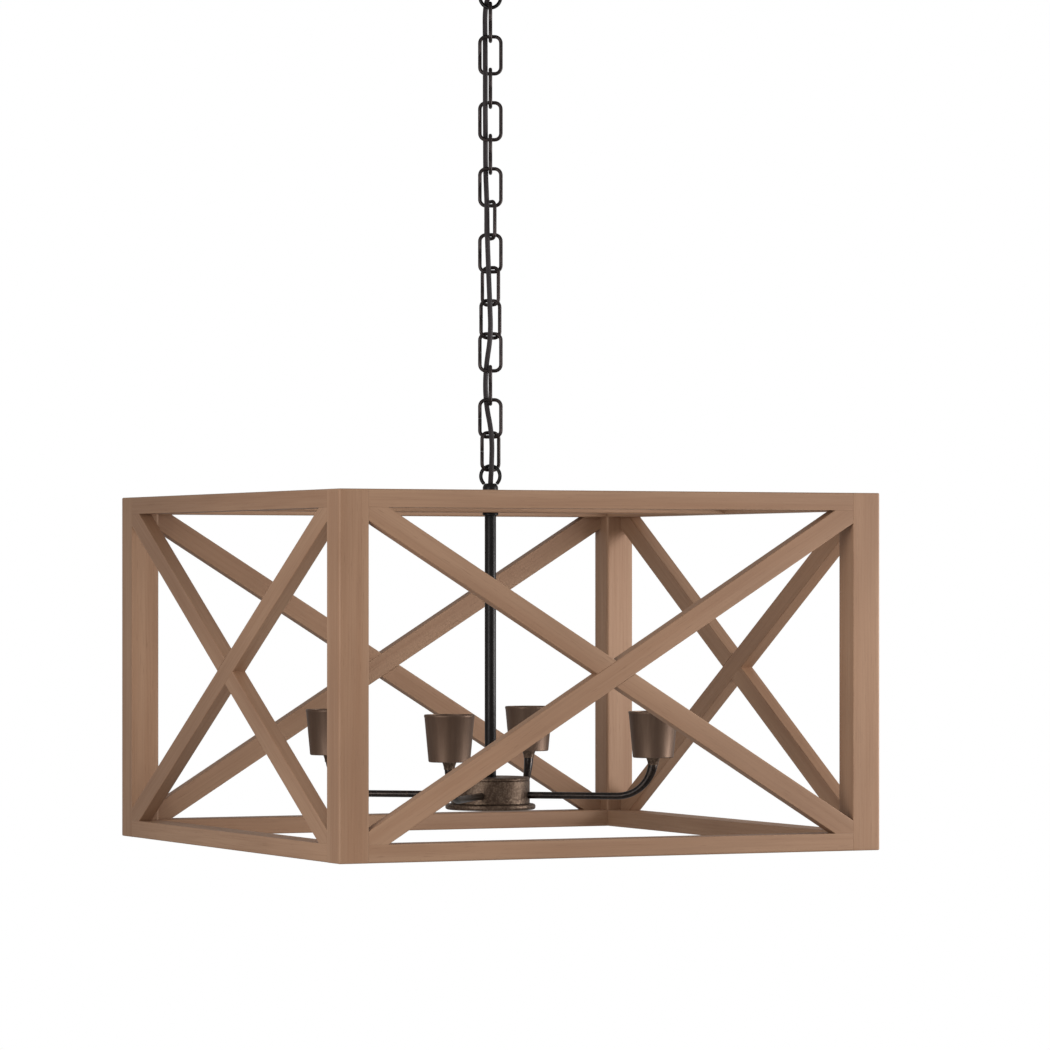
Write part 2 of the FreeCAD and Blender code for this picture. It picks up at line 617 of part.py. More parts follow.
loop("stem_loop", "CageTopDrop", False)
loop("canopy_loop", "CollarBottomDrop", True)
turned_body("canopy", "CanopyHeight",
            [("NippleHole", "0"), ("CanopyTop", "0"), ("CanopyShoulder", "CanopyStep"),
             ("CanopyRadius", "CanopyRimLift"), ("CanopyRadius", "CanopyHeight"),
             ("CanopyInnerRadius", "CanopyHeight"), ("CanopyInnerRadius", "CanopyRimLift"),
             ("CanopyInnerShoulder", "CanopyInnerStep"), ("CanopyTop", "CanopyWall"),
             ("NippleHole", "CanopyWall")])
turned_body("canopy_collar", "CollarBottomDrop",
            [("NippleThread", "0"), ("CanopyCollarNoseRadius", "0"),
             ("CanopyCollarRadius", "CanopyCollarFace"),
             ("CanopyCollarRadius", "CanopyCollarHeight"),
             ("NippleThread", "CanopyCollarHeight")])
nut("canopy_nut", "CanopyNutDrop", "CanopyNutWidth", "CanopyNutHeight", "NippleThread")


def ceiling_strap():
    """The flat strap that is screwed to the ceiling box through its two slots."""
    body = new_body("ceiling_strap", "StrapThick")
    sketch = new_sketch(body, "XY_Plane")
    draw_rectangle(sketch, ("-HalfStrapLength", "-HalfStrapWidth"),
                   ("HalfStrapLength", "HalfStrapWidth"))
    draw_circle(sketch, ("0", "0"), "NippleThread")
    pad(body, sketch, "StrapThick")
    for side in ("", "-"):
        sketch = new_sketch(body, "XY_Plane")
        low, high = ("SlotInner", "SlotOuter") if side == "" else ("-SlotOuter", "-SlotInner")
        draw_rectangle(sketch, (low, "-SlotRadius"), (high, "SlotRadius"))
        pocket(body, sketch, "StrapThick", reverse=True)
        for end in ("SlotInner", "SlotOuter"):
            sketch = new_sketch(body, "XY_Plane")
            draw_circle(sketch, (side + end, "0"), "SlotRadius")
            pocket(body, sketch, "StrapThick", reverse=True)


ceiling_strap()


# ---------------------------------------------------------------- chain

# How far each link is turned from the chain's own front, from the lamp up.
LINK_TURNS = [38, 0, 90, 0, 28, -40, 0, -65, 0, 90, 0, 90, 0, 90]


def link_path(sketch):
    """The centreline of a link: a tall rectangle with round corners, closed on itself."""
    side, bar = size("LinkHalfSide"), size("LinkHalfBar")
    inner_side, inner_bar = size("LinkCornerAcross"), size("LinkCornerUp")
    stops = [(side, 0), (side, inner_bar), (inner_side, bar), (-inner_side, bar),
             (-side, inner_bar), (-side, -inner_bar), (-inner_side, -bar),
             (inner_side, -bar), (side, -inner_bar), (side, 0)]
    names = [("LinkHalfSide", "0"), ("LinkHalfSide", "LinkCornerUp"),
             ("LinkCornerAcross", "LinkHalfBar"), ("-LinkCornerAcross", "LinkHalfBar"),
             ("-LinkHalfSide", "LinkCornerUp"), ("-LinkHalfSide", "-LinkCornerUp"),
             ("-LinkCornerAcross", "-LinkHalfBar"), ("LinkCornerAcross", "-LinkHalfBar"),
             ("LinkHalfSide", "-LinkCornerUp")]
    corners = {1: (1, 1), 3: (-1, 1), 5: (-1, -1), 7: (1, -1)}
    radius = side - inner_side
    for step, (start, end) in enumerate(zip(stops, stops[1:])):
        if step in corners:
            across, up = corners[step]
            centre = Vector(across * inner_side, up * inner_bar, 0)
            middle = centre + Vector(across, up, 0).normalize() * radius
            sketch.addGeometry(Part.Arc(Vector(*start, 0), middle, Vector(*end, 0)), False)
        else:
            sketch.addGeometry(Part.LineSegment(Vector(*start, 0), Vector(*end, 0)), False)
    for step in range(len(names)):
        sketch.addConstraint(
            Sketcher.Constraint("Coincident", step, 2, (step + 1) % len(names), 1))
    for step, (across, up) in enumerate(names):
        if step in corners:
            sketch.addConstraint(Sketcher.Constraint(
                "DistanceX", -1, 1, step, 3, corners[step][0] * inner_side))
            sketch.setExpression(
                f"Constraints[{sketch.ConstraintCount - 1}]",
                bound("LinkCornerAcross" if corners[step][0] > 0 else "-LinkCornerAcross"))
        tie_point(sketch, step, 1, (across, up))


def link_pattern():
    """One link of the chain, upright about its own middle."""
    body = new_body("chain_link_pattern")
    path = new_sketch(body, "XZ_Plane")
    link_path(path)
    profile = new_sketch(body, "XY_Plane")
    draw_circle(profile, ("LinkHalfSide", "0"), "LinkWireRadius")
    sweep(body, profile, path)
    return body


def link_place(number):
    """Where link number, counted from the lamp up, hangs."""
    height = -size("FirstLinkDrop") + (number - 1) * size("LinkPitch")
    turn = size("ChainTurn") + LINK_TURNS[(number - 1) % len(LINK_TURNS)]
    return Placement(Vector(0, 0, height), Rotation(UP, turn))


link = link_pattern()
top_link = int(size("LinkCount"))
group("chain_link_first", link, [link_place(1)])
group("chain_lower_run", link, [link_place(number) for number in range(2, 8)])
group("chain_upper_run", link, [link_place(number) for number in range(8, top_link)])
group("chain_link_last", link, [link_place(top_link)])


# ---------------------------------------------------------------- cord

# How much of the shorter run an arc of the cord's path takes up.
ARC_SHARE = 0.45

# Where the cord passes each crossing of two links, from the lamp up, in the chain's own
# front view: across it and away from the viewer, in cord sides.
CORD_STEPS = [(0.2, -1.22), (0.36, -1.14), (-0.95, 1.0), (-0.95, 0.95), (0.25, -1.08),
              (-0.1, -1.12), (-0.35, -0.98), (-0.55, -0.98), (-0.6, -0.98), (-0.95, 1.0),
              (-0.95, 0.95), (-0.95, -1.0), (-0.9, -1.0), (-1.0, 1.0), (-0.97, 0.93)]


def cord_route():
    """The cord's points, from inside the stem's loop to inside the canopy's nipple."""
    front = Rotation(UP, size("ChainTurn"))
    low, high = -size("LowerRingDrop"), -size("UpperRingDrop")
    first = low + size("CrossingLift")
    points = [Vector(0, 0, low - size("LoopRise") - size("CordInside")),
              Vector(0, 0, low - size("CordTuck"))]
    for step in range(int(size("LinkCount")) + 1):
        across, away = CORD_STEPS[step % len(CORD_STEPS)]
        aside = front.multVec(Vector(across, away, 0) * size("CordSide"))
        points.append(aside + UP * (first + step * size("LinkPitch")))
    points += [Vector(0, 0, high + size("CordTuck")),
               Vector(0, 0, high + size("LoopRise") + size("CordInside"))]
    return points


def cord_path(points):
    """Straight runs between the points, joined by arcs as large as the runs allow."""
    edges, last = [], points[0]
    for before, corner, after in zip(points, points[1:], points[2:]):
        back, ahead = before - corner, after - corner
        reach = ARC_SHARE * min(back.Length, ahead.Length)
        back.normalize()
        ahead.normalize()
        half_turn = (pi - back.getAngle(ahead)) / 2
        start, end = corner + back * reach, corner + ahead * reach
        radius = reach / tan(half_turn)
        print(f"cord bend radius {radius:.1f} mm")
        middle = corner + (back + ahead).normalize() * (radius / cos(half_turn) - radius)
        edges.append(Part.LineSegment(last, start).toShape())
        edges.append(Part.Arc(start, middle, end).toShape())
        last = end
    edges.append(Part.LineSegment(last, points[-1]).toShape())
    return Part.Wire(edges)


def cord():
    """The lamp's cord, threaded through the chain from the canopy to the stem."""
    points = cord_route()
    path = cord_path(points)
    circle = Part.makeCircle(size("CordRadius"), points[0], points[1] - points[0])
    tube = path.makePipeShell([Part.Wire(circle)], True, True)
    feature = doc.addObject("Part::Feature", "cord")
    feature.Label = "cord"
    feature.Shape = Part.Solid(tube) if tube.ShapeType == "Shell" else tube
    expected = pi * size("CordRadius") ** 2 * path.Length
    print(f"cord length {path.Length:.1f} mm, volume {feature.Shape.Volume:.0f}"
          f" of {expected:.0f} mm3")


cord()


# ---------------------------------------------------------------- check and write

def kept_parts():
    """The finished sub-parts: every body and plain feature that isn't a pattern."""
    kinds = ("PartDesign::Body", "Part::Feature")
    return [item for item in doc.Objects
            if item.TypeId in kinds and not item.Label.endswith("_pattern")]


doc.recompute()
for item in doc.Objects:
    if "Invalid" in item.State or "Error" in item.State:
        raise RuntimeError(f"{item.Label} failed: {item.State}")
os.makedirs("parts", exist_ok=True)
for item in kept_parts():
    if item.Shape.isNull() or not item.Shape.isValid() or item.Shape.Volume <= 0:
        raise RuntimeError(f"{item.Label} has no sound shape")
    item.Shape.exportStep(f"parts/{item.Label}.step")
    print(f"{item.Label}: {len(item.Shape.Solids)} solid, {item.Shape.Volume:.0f} mm3")
print(f"{len(kept_parts())} nodes")
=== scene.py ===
"""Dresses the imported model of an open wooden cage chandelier, hung from the ceiling on a chain.

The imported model's own frame is kept: the origin is the middle of the ceiling plane and +Z is
up, so the whole lamp hangs below zero. Lengths are in metres, and the outlines of turned
pieces are in millimetres.
"""
from __future__ import annotations

import json
import logging
from contextlib import contextmanager
from dataclasses import dataclass, field
from enum import Enum
from math import cos, hypot, pi, radians, sin
from typing import Any, Callable, Iterator, Sequence

import bpy
from mathutils import Matrix, Vector

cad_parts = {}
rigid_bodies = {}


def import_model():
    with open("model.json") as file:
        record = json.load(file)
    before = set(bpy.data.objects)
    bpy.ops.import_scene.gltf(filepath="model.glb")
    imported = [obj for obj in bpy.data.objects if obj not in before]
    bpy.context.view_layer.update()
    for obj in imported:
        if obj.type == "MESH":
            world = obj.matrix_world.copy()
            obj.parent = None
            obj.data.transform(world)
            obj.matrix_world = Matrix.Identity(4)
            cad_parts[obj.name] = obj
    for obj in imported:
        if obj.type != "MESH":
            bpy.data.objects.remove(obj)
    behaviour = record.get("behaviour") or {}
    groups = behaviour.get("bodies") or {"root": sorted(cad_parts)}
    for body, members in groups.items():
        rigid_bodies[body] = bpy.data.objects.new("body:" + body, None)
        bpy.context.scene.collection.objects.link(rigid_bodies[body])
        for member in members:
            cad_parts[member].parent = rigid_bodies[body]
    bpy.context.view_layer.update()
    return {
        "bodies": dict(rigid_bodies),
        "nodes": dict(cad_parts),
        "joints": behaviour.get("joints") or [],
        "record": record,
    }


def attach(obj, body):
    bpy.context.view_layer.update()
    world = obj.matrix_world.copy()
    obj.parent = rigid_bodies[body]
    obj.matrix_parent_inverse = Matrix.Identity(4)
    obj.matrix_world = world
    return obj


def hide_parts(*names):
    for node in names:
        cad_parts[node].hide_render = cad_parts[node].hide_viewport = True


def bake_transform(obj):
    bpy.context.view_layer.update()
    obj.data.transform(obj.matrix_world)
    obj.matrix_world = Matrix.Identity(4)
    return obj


LOG = logging.getLogger("chandelier")

MM = 0.001
TINY = 1e-6
UP = Vector((0.0, 0.0, 1.0))
CHAIN_TURN = radians(-25.2)
ARM_TURNS = [radians(-38.6 + 90 * step) for step in range(4)]
PATTERN_SHIFT = Vector((0.731, 0.287, 0.433))
PATTERN_SPAN = 1.9
WHITE = (1.0, 1.0, 1.0, 1.0)
SURFACE = {"Color": "NodeSocketColor", "Roughness": "NodeSocketFloat",
           "Normal": "NodeSocketVector"}

Point = tuple[float, float]
Triple = tuple[float, float, float]
Colour = tuple[int, int, int]


class Body(str, Enum):
    """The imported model's rigid bodies, from the ceiling down."""

    CANOPY = "canopy"
    LINK_TOP = "link_top"
    CHAIN_UPPER = "chain_upper"
    CHAIN_LOWER = "chain_lower"
    LINK_BOTTOM = "link_bottom"
    LAMP = "lamp"


class Slot(str, Enum):
    """The record's material slots."""

    WOOD = "stained_wood"
    BLACK = "black_metal"
    BRONZE = "dark_bronze"
    HOLDER = "lampholder_body"
    SHELL = "shell_metal"
    CANOPY = "canopy_metal"
    ZINC = "zinc_plate"
    CHAIN = "chain_metal"
    CORD = "cord_cover"


class Slant(Enum):
    """Which way a brace climbs, seen from outside its own side of the cage."""

    RISING = 1
    FALLING = -1


def srgb(red: int, green: int, blue: int) -> tuple[float, float, float, float]:
    """A colour as an eye reads it, turned into the linear values that a shader takes.

    Args:
        red: The red part, 0 to 255.
        green: The green part, 0 to 255.
        blue: The blue part, 0 to 255.

    Returns:
        The linear colour with full alpha.
    """
    parts = [channel / 255 for channel in (red, green, blue)]
    linear = [part / 12.92 if part <= 0.04045 else ((part + 0.055) / 1.055) ** 2.4
              for part in parts]
    return (linear[0], linear[1], linear[2], 1.0)


# ---------------------------------------------------------------- shader sheets

class Sheet:
    """A node tree that nodes are added to and joined on, left to right."""

    def __init__(self, tree: bpy.types.NodeTree) -> None:
        """Start on an emptied tree.

        Args:
            tree: The node tree of a material, a world or a group.
        """
        self.tree = tree
        tree.nodes.clear()

    def node(self, kind: str, values: dict[Any, Any] | None = None,
             **settings: Any) -> bpy.types.Node:
        """Add a node, with its settings, and fill or join its sockets.

        Args:
            kind: The node's type name.
            values: What goes into each socket, a value or another node's output socket.
            **settings: Properties of the node itself.

        Returns:
            The new node.
        """
        new = self.tree.nodes.new(kind)
        for name, setting in settings.items():
            setattr(new, name, setting)
        return self.fill(new, values or {})

    def fill(self, node: bpy.types.Node, values: dict[Any, Any]) -> bpy.types.Node:
        """Put values, or other nodes' output sockets, into a node's inputs.

        Args:
            node: The node.
            values: What goes into each input.

        Returns:
            The same node.
        """
        for name, value in values.items():
            if isinstance(value, bpy.types.NodeSocket):
                self.tree.links.new(value, node.inputs[name])
            else:
                node.inputs[name].default_value = value
        return node

    def math(self, operation: str, first: Any, second: Any = 0.5,
             clamp: bool = False) -> bpy.types.NodeSocket:
        """The output of a Math node over two values or sockets."""
        return self.node("ShaderNodeMath", {0: first, 1: second}, operation=operation,
                         use_clamp=clamp).outputs[0]

    def noise(self, place: Any, scale: Any, detail: float = 3.0,
              roughness: float = 0.55) -> bpy.types.NodeSocket:
        """The factor of a Noise texture at a place."""
        return self.node("ShaderNodeTexNoise", {
            "Vector": place, "Scale": scale, "Detail": detail,
            "Roughness": roughness}).outputs["Fac"]

    def stretch(self, place: Any, scale: Sequence[float]) -> bpy.types.NodeSocket:
        """A place stretched by a factor along each of its axes."""
        return self.node("ShaderNodeMapping", {"Vector": place, "Scale": scale}).outputs[0]

    def blend(self, factor: Any, first: Any, second: Any) -> bpy.types.NodeSocket:
        """Two colours mixed by a factor."""
        return self.node("ShaderNodeMix", {0: factor, 6: first, 7: second},
                         data_type="RGBA").outputs[2]

    def band(self, value: Any, low: float, high: float, start: float = 0.0,
             end: float = 1.0) -> bpy.types.NodeSocket:
        """A value spread from one range onto another and held inside it."""
        return self.node("ShaderNodeMapRange",
                         {0: value, 1: low, 2: high, 3: start, 4: end}).outputs[0]

    def bump(self, strength: Any, distance: Any, height: Any) -> bpy.types.NodeSocket:
        """The normal of a surface that a height raises."""
        return self.node("ShaderNodeBump", {"Strength": strength, "Distance": distance,
                                            "Height": height}).outputs[0]

    def mix(self, factor: Any, first: Any, second: Any) -> bpy.types.NodeSocket:
        """Two shaders mixed by a factor."""
        return self.node("ShaderNodeMixShader", {0: factor, 1: first, 2: second}).outputs[0]

    def attribute(self, name: str, output: str) -> bpy.types.NodeSocket:
        """One output of a mesh attribute."""
        return self.node("ShaderNodeAttribute", attribute_name=name).outputs[output]


def new_group(name: str, takes: dict[str, Any], gives: dict[str, str]
              ) -> tuple[bpy.types.NodeTree, Sheet, bpy.types.Node, bpy.types.Node]:
    """Start a shader group with named sockets.

    Args:
        name: The group's name.
        takes: Each input's name, with its default: a number, a colour or None for a vector.
        gives: Each output's name and socket kind.

    Returns:
        The tree, a sheet over it, its input node and its output node.
    """
    tree = bpy.data.node_groups.new(name, "ShaderNodeTree")
    for label, value in takes.items():
        kind = ("NodeSocketVector" if value is None else
                "NodeSocketColor" if isinstance(value, tuple) else "NodeSocketFloat")
        socket = tree.interface.new_socket(label, in_out="INPUT", socket_type=kind)
        if value is not None:
            socket.default_value = value
    for label, kind in gives.items():
        tree.interface.new_socket(label, in_out="OUTPUT", socket_type=kind)
    sheet = Sheet(tree)
    return tree, sheet, sheet.node("NodeGroupInput"), sheet.node("NodeGroupOutput")


def grain_group() -> bpy.types.NodeTree:
    """The stained wood's grain: long fibres, slow bands, pores, and paler edges that are partly
    rubbed wear and partly a painted highlight.

    Returns:
        The group, which gives a colour, a roughness and a normal.
    """
    tree, sheet, takes, gives = new_group(
        "wood_grain",
        {"Place": None, "Rim": 0.0, "Base": (0.3, 0.2, 0.1, 1.0), "Dark": (0.1, 0.1, 0.1, 1.0),
         "Pale": (0.5, 0.4, 0.3, 1.0), "Relief": 0.2}, SURFACE)
    given = takes.outputs
    place, dark, pale = given["Place"], given["Dark"], given["Pale"]

    def threads(where: Any, length: float, width: float, detail: float,
                roughness: float) -> bpy.types.NodeSocket:
        """Noise drawn out along the stick, with its scale along and across it."""
        return sheet.noise(sheet.stretch(where, (length, width, width)), 1.0, detail, roughness)

    wander = sheet.node("ShaderNodeTexNoise", {
        "Vector": sheet.stretch(place, (3.0, 20.0, 20.0)), "Scale": 1.0, "Detail": 2.0})
    drift = sheet.node("ShaderNodeVectorMath", {0: wander.outputs["Color"],
                                                1: (0.006, 0.006, 0.006)}, operation="MULTIPLY")
    sway = sheet.node("ShaderNodeVectorMath", {0: place, 1: drift.outputs[0]},
                      operation="ADD").outputs[0]
    bands = threads(sway, 2.0, 55.0, 3.0, 0.55)
    fibres = threads(sway, 12.0, 640.0, 2.0, 0.6)
    pits = sheet.band(threads(sway, 60.0, 1500.0, 1.0, 0.5), 0.66, 0.74)
    clouds = threads(place, 5.0, 12.0, 2.0, 0.5)
    tone = sheet.blend(sheet.band(bands, 0.35, 0.65), given["Base"], pale)
    for mask in (sheet.band(clouds, 0.35, 0.75, 0.0, 0.4),
                 sheet.band(fibres, 0.42, 0.7, 0.0, 0.2), sheet.math("MULTIPLY", pits, 0.4)):
        tone = sheet.blend(mask, tone, dark)
    # Paler edges, mixed towards the pale tone: partly rubbed wear, partly a painted highlight
    # along each edge.
    worn_and_highlit_edges = sheet.math("MULTIPLY", sheet.math("POWER", given["Rim"], 1.6),
                        sheet.band(sheet.noise(place, 42.0, 3.0), 0.38, 0.66), clamp=True)
    tone = sheet.blend(sheet.math("MULTIPLY", worn_and_highlit_edges, 0.42), tone, pale)
    rough = sheet.band(sheet.math("ADD", fibres, sheet.math("MULTIPLY", bands, 0.5)),
                       0.5, 1.1, 0.46, 0.62)
    relief = sheet.math("SUBTRACT", fibres, sheet.math("MULTIPLY", pits, 0.7))
    sheet.fill(gives, {"Color": tone, "Roughness": rough,
                       "Normal": sheet.bump(given["Relief"], 0.0002, relief)})
    return tree


def mottle_group() -> bpy.types.NodeTree:
    """A cast or sprayed metal's speckle: soft clouds, fine grains and a pitted relief.

    Returns:
        The group, which gives a colour, a roughness and a normal.
    """
    tree, sheet, takes, gives = new_group(
        "metal_mottle",
        {"Place": None, "Base": (0.1, 0.1, 0.1, 1.0), "Light": (0.3, 0.3, 0.3, 1.0),
         "Grain": 400.0, "Cloud": 60.0, "Amount": 0.5, "Smooth": 0.3, "Matt": 0.5,
         "Relief": 0.2, "Depth": 0.0004}, SURFACE)
    given = takes.outputs
    grain = sheet.noise(given["Place"], given["Grain"], 4.0, 0.6)
    cloud = sheet.noise(given["Place"], given["Cloud"], 3.0, 0.6)
    mask = sheet.math("ADD", sheet.band(grain, 0.45, 0.68),
                      sheet.band(cloud, 0.4, 0.75, 0.0, 0.6), clamp=True)
    mask = sheet.math("MULTIPLY", mask, given["Amount"], clamp=True)
    spread = sheet.math("MULTIPLY", sheet.math("SUBTRACT", given["Matt"], given["Smooth"]),
                        cloud)
    sheet.fill(gives, {"Color": sheet.blend(mask, given["Base"], given["Light"]),
                       "Roughness": sheet.math("ADD", given["Smooth"], spread, clamp=True),
                       "Normal": sheet.bump(given["Relief"], given["Depth"], grain)})
    return tree


def braid_group() -> bpy.types.NodeTree:
    """A cord's woven cover, laid on the cord's own UV map, in metres along and around it.

    Returns:
        The group, which gives a colour mask and a normal.
    """
    tree, sheet, takes, gives = new_group(
        "cord_braid", {"UV": None, "Strands": 1100.0, "Relief": 0.5},
        {"Mask": "NodeSocketFloat", "Normal": "NodeSocketVector"})
    given = takes.outputs
    parts = sheet.node("ShaderNodeSeparateXYZ", {0: given["UV"]}).outputs
    first, second = (
        sheet.math("SINE", sheet.math("MULTIPLY", sheet.math(way, parts[0], parts[1]),
                                      sheet.math("MULTIPLY", given["Strands"], 2 * pi)))
        for way in ("ADD", "SUBTRACT"))
    woven = sheet.math("MULTIPLY_ADD", sheet.math("MULTIPLY", first, second), 0.5)
    sheet.fill(gives, {"Mask": woven, "Normal": sheet.bump(given["Relief"], 0.0002, woven)})
    return tree


class Groups:
    """The shader groups that more than one material uses, each built once."""

    def __init__(self) -> None:
        """Build every group."""
        self.grain = grain_group()
        self.mottle = mottle_group()
        self.braid = braid_group()


@dataclass(frozen=True)
class Finish:
    """What every finish has: a name, and a shader for its pattern to fill."""

    name: str

    def start(self) -> tuple[bpy.types.Material, Sheet, bpy.types.Node]:
        """A new material with a Principled shader joined to its output."""
        material = bpy.data.materials.new(self.name)
        material.use_nodes = True
        sheet = Sheet(material.node_tree)
        shader = sheet.node("ShaderNodeBsdfPrincipled")
        sheet.node("ShaderNodeOutputMaterial", {"Surface": shader.outputs[0]})
        return material, sheet, shader

    def surface(self, pattern: bpy.types.Node) -> dict[str, bpy.types.NodeSocket]:
        """A pattern group's outputs, under the names of the shader's inputs."""
        gives = pattern.outputs
        return {"Base Color": gives["Color"], "Roughness": gives["Roughness"],
                "Normal": gives["Normal"]}

    def make(self, groups: Groups) -> bpy.types.Material:
        """The finished material."""
        raise NotImplementedError


@dataclass(frozen=True)
class StainedWood(Finish):
    """Close-grained wood under a thin greyish brown stain, rubbed down to a low sheen."""

    base: Colour = (154, 118, 92)
    dark: Colour = (120, 89, 68)
    pale: Colour = (166, 132, 106)
    relief: float = 0.1
    sheen: float = 0.25

    def make(self, groups: Groups) -> bpy.types.Material:
        """Grain that follows each stick, with paler edges: partly rubbed wear, partly a painted
        highlight.
        """
        material, sheet, shader = self.start()
        grain = sheet.node("ShaderNodeGroup", {
            "Place": sheet.attribute("own_place", "Vector"),
            "Rim": sheet.attribute("rim", "Fac"), "Base": srgb(*self.base),
            "Dark": srgb(*self.dark), "Pale": srgb(*self.pale), "Relief": self.relief},
            node_tree=groups.grain)
        sheet.fill(shader, {**self.surface(grain), "Specular IOR Level": self.sheen})
        return material


@dataclass(frozen=True)
class MottledMetal(Finish):
    """A painted, patinated or plated metal with the speckle of its own making."""

    base: Colour = (40, 36, 34)
    light: Colour = (90, 80, 72)
    metallic: float = 1.0
    grain: float = 400.0
    cloud: float = 60.0
    amount: float = 0.5
    smooth: float = 0.3
    matt: float = 0.5
    relief: float = 0.15
    depth: float = 0.0003
    coat: float = 0.0
    coat_roughness: float = 0.25
    streak: Triple = (1.0, 1.0, 1.0)

    def make(self, groups: Groups) -> bpy.types.Material:
        """Speckled metal, its pattern stretched along the piece where it was drawn."""
        material, sheet, shader = self.start()
        mottle = sheet.node("ShaderNodeGroup", {
            "Place": sheet.stretch(sheet.attribute("own_place", "Vector"), self.streak),
            "Base": srgb(*self.base), "Light": srgb(*self.light), "Grain": self.grain,
            "Cloud": self.cloud, "Amount": self.amount, "Smooth": self.smooth,
            "Matt": self.matt, "Relief": self.relief, "Depth": self.depth},
            node_tree=groups.mottle)
        sheet.fill(shader, {**self.surface(mottle), "Metallic": self.metallic,
                            "Coat Weight": self.coat, "Coat Roughness": self.coat_roughness})
        return material


@dataclass(frozen=True)
class BraidedCover(Finish):
    """The cord's dark woven cover."""

    dark: Colour = (24, 19, 21)
    light: Colour = (56, 46, 48)
    roughness: float = 0.7
    sheen: float = 0.25
    sheen_roughness: float = 0.4

    def make(self, groups: Groups) -> bpy.types.Material:
        """Strands that follow the cord."""
        material, sheet, shader = self.start()
        braid = sheet.node("ShaderNodeGroup", {
            "UV": sheet.node("ShaderNodeUVMap", uv_map="weave").outputs[0]},
            node_tree=groups.braid).outputs
        sheet.fill(shader, {
            "Base Color": sheet.blend(braid["Mask"], srgb(*self.dark), srgb(*self.light)),
            "Normal": braid["Normal"], "Roughness": self.roughness,
            "Sheen Weight": self.sheen, "Sheen Roughness": self.sheen_roughness})
        return material


@dataclass
class Finishes:
    """Every material of the lamp, made once."""

    groups: Groups = field(default_factory=Groups)
    made: dict[str, bpy.types.Material] = field(default_factory=dict)
    kinds: tuple[Finish, ...] = (
        StainedWood("stained_wood"),
        MottledMetal("black_metal", base=(22, 20, 20), light=(50, 46, 45), metallic=0.7,
                     grain=900.0, cloud=90.0, amount=0.4, smooth=0.34, relief=0.06, coat=0.1),
        MottledMetal("dark_bronze", base=(84, 68, 57), light=(142, 122, 104), metallic=0.85,
                     grain=560.0, cloud=120.0, amount=0.62, smooth=0.26, matt=0.55,
                     relief=0.5, depth=0.0006),
        MottledMetal("drawn_bronze", base=(110, 90, 77), light=(130, 109, 93), metallic=0.85,
                     grain=260.0, cloud=90.0, amount=0.4, smooth=0.42, matt=0.52,
                     relief=0.03, depth=0.0002, streak=(1.0, 1.0, 0.05)),
        MottledMetal("arm_black", base=(22, 17, 16), light=(74, 60, 50), metallic=0.75,
                     grain=420.0, cloud=70.0, smooth=0.22, matt=0.42, coat=0.2),
        MottledMetal("lampholder_body", base=(24, 22, 21), light=(40, 37, 35), metallic=0.0,
                     grain=700.0, amount=0.3, smooth=0.35, relief=0.05),
        MottledMetal("shell_metal", base=(176, 156, 118), light=(206, 190, 156),
                     grain=500.0, amount=0.4, smooth=0.25, matt=0.4, relief=0.05),
        MottledMetal("canopy_metal", base=(28, 26, 25), light=(56, 51, 48), metallic=0.75,
                     grain=800.0, cloud=50.0, amount=0.45, smooth=0.28, relief=0.1, coat=0.2),
        MottledMetal("zinc_plate", base=(150, 150, 152), light=(186, 186, 184), grain=350.0,
                     relief=0.08),
        MottledMetal("chain_metal", base=(42, 36, 36), light=(98, 86, 83), metallic=0.75,
                     grain=700.0, cloud=110.0, amount=0.4, smooth=0.34, relief=0.12,
                     depth=0.0002),
        BraidedCover("cord_cover"),
    )

    def of(self, name: str) -> bpy.types.Material:
        """The material with a name; most are named as their slot is."""
        if not self.made:
            self.made = {finish.name: finish.make(self.groups) for finish in self.kinds}
        return self.made[name]


# ---------------------------------------------------------------- workbench

@contextmanager
def edit_mode(kind: str = "VERT") -> Iterator[None]:
    """Work on the active piece in edit mode.

    Args:
        kind: What can be picked: VERT or EDGE.

    Yields:
        Nothing: the piece is open for edit operators until the block ends.
    """
    bpy.ops.object.mode_set(mode="EDIT")
    bpy.ops.mesh.select_mode(type=kind)
    try:
        yield
    finally:
        bpy.ops.object.mode_set(mode="OBJECT")


def take_up(piece: bpy.types.Object) -> bpy.types.Object:
    """Select one piece alone and make it the active one."""
    bpy.ops.object.select_all(action="DESELECT")
    piece.select_set(True)
    bpy.context.view_layer.objects.active = piece
    return piece


def name_piece(name: str) -> bpy.types.Object:
    """Name the active piece and its mesh."""
    piece = bpy.context.object
    piece.name = name
    piece.data.name = name
    return piece


def pick(piece: bpy.types.Object, kind: str, test: Callable[..., bool]) -> None:
    """Select the vertices or edges of a piece that pass a test.

    Args:
        piece: The piece, which is the active object in edit mode.
        kind: VERT or EDGE.
        test: Whether an item is wanted: a vertex by its place, an edge by its middle and way.
    """
    bpy.ops.mesh.select_all(action="DESELECT")
    bpy.ops.mesh.select_mode(type=kind)
    bpy.ops.object.mode_set(mode="OBJECT")
    mesh = piece.data
    if kind == "VERT":
        for vertex in mesh.vertices:
            vertex.select = test(vertex.co)
    else:
        for edge in mesh.edges:
            ends = [mesh.vertices[index].co for index in edge.vertices]
            edge.select = test((ends[0] + ends[1]) / 2, (ends[1] - ends[0]).normalized())
    bpy.ops.object.mode_set(mode="EDIT")


def finish_with(piece: bpy.types.Object, kind: str, **settings: Any) -> bpy.types.Object:
    """Add a modifier with its settings and apply it.

    Args:
        piece: The piece to finish.
        kind: The modifier's type.
        **settings: Its properties.

    Returns:
        The same piece.
    """
    take_up(piece)
    modifier = piece.modifiers.new(kind.lower(), kind)
    for name, value in settings.items():
        setattr(modifier, name, value)
    bpy.ops.object.modifier_apply(modifier=modifier.name)
    return piece


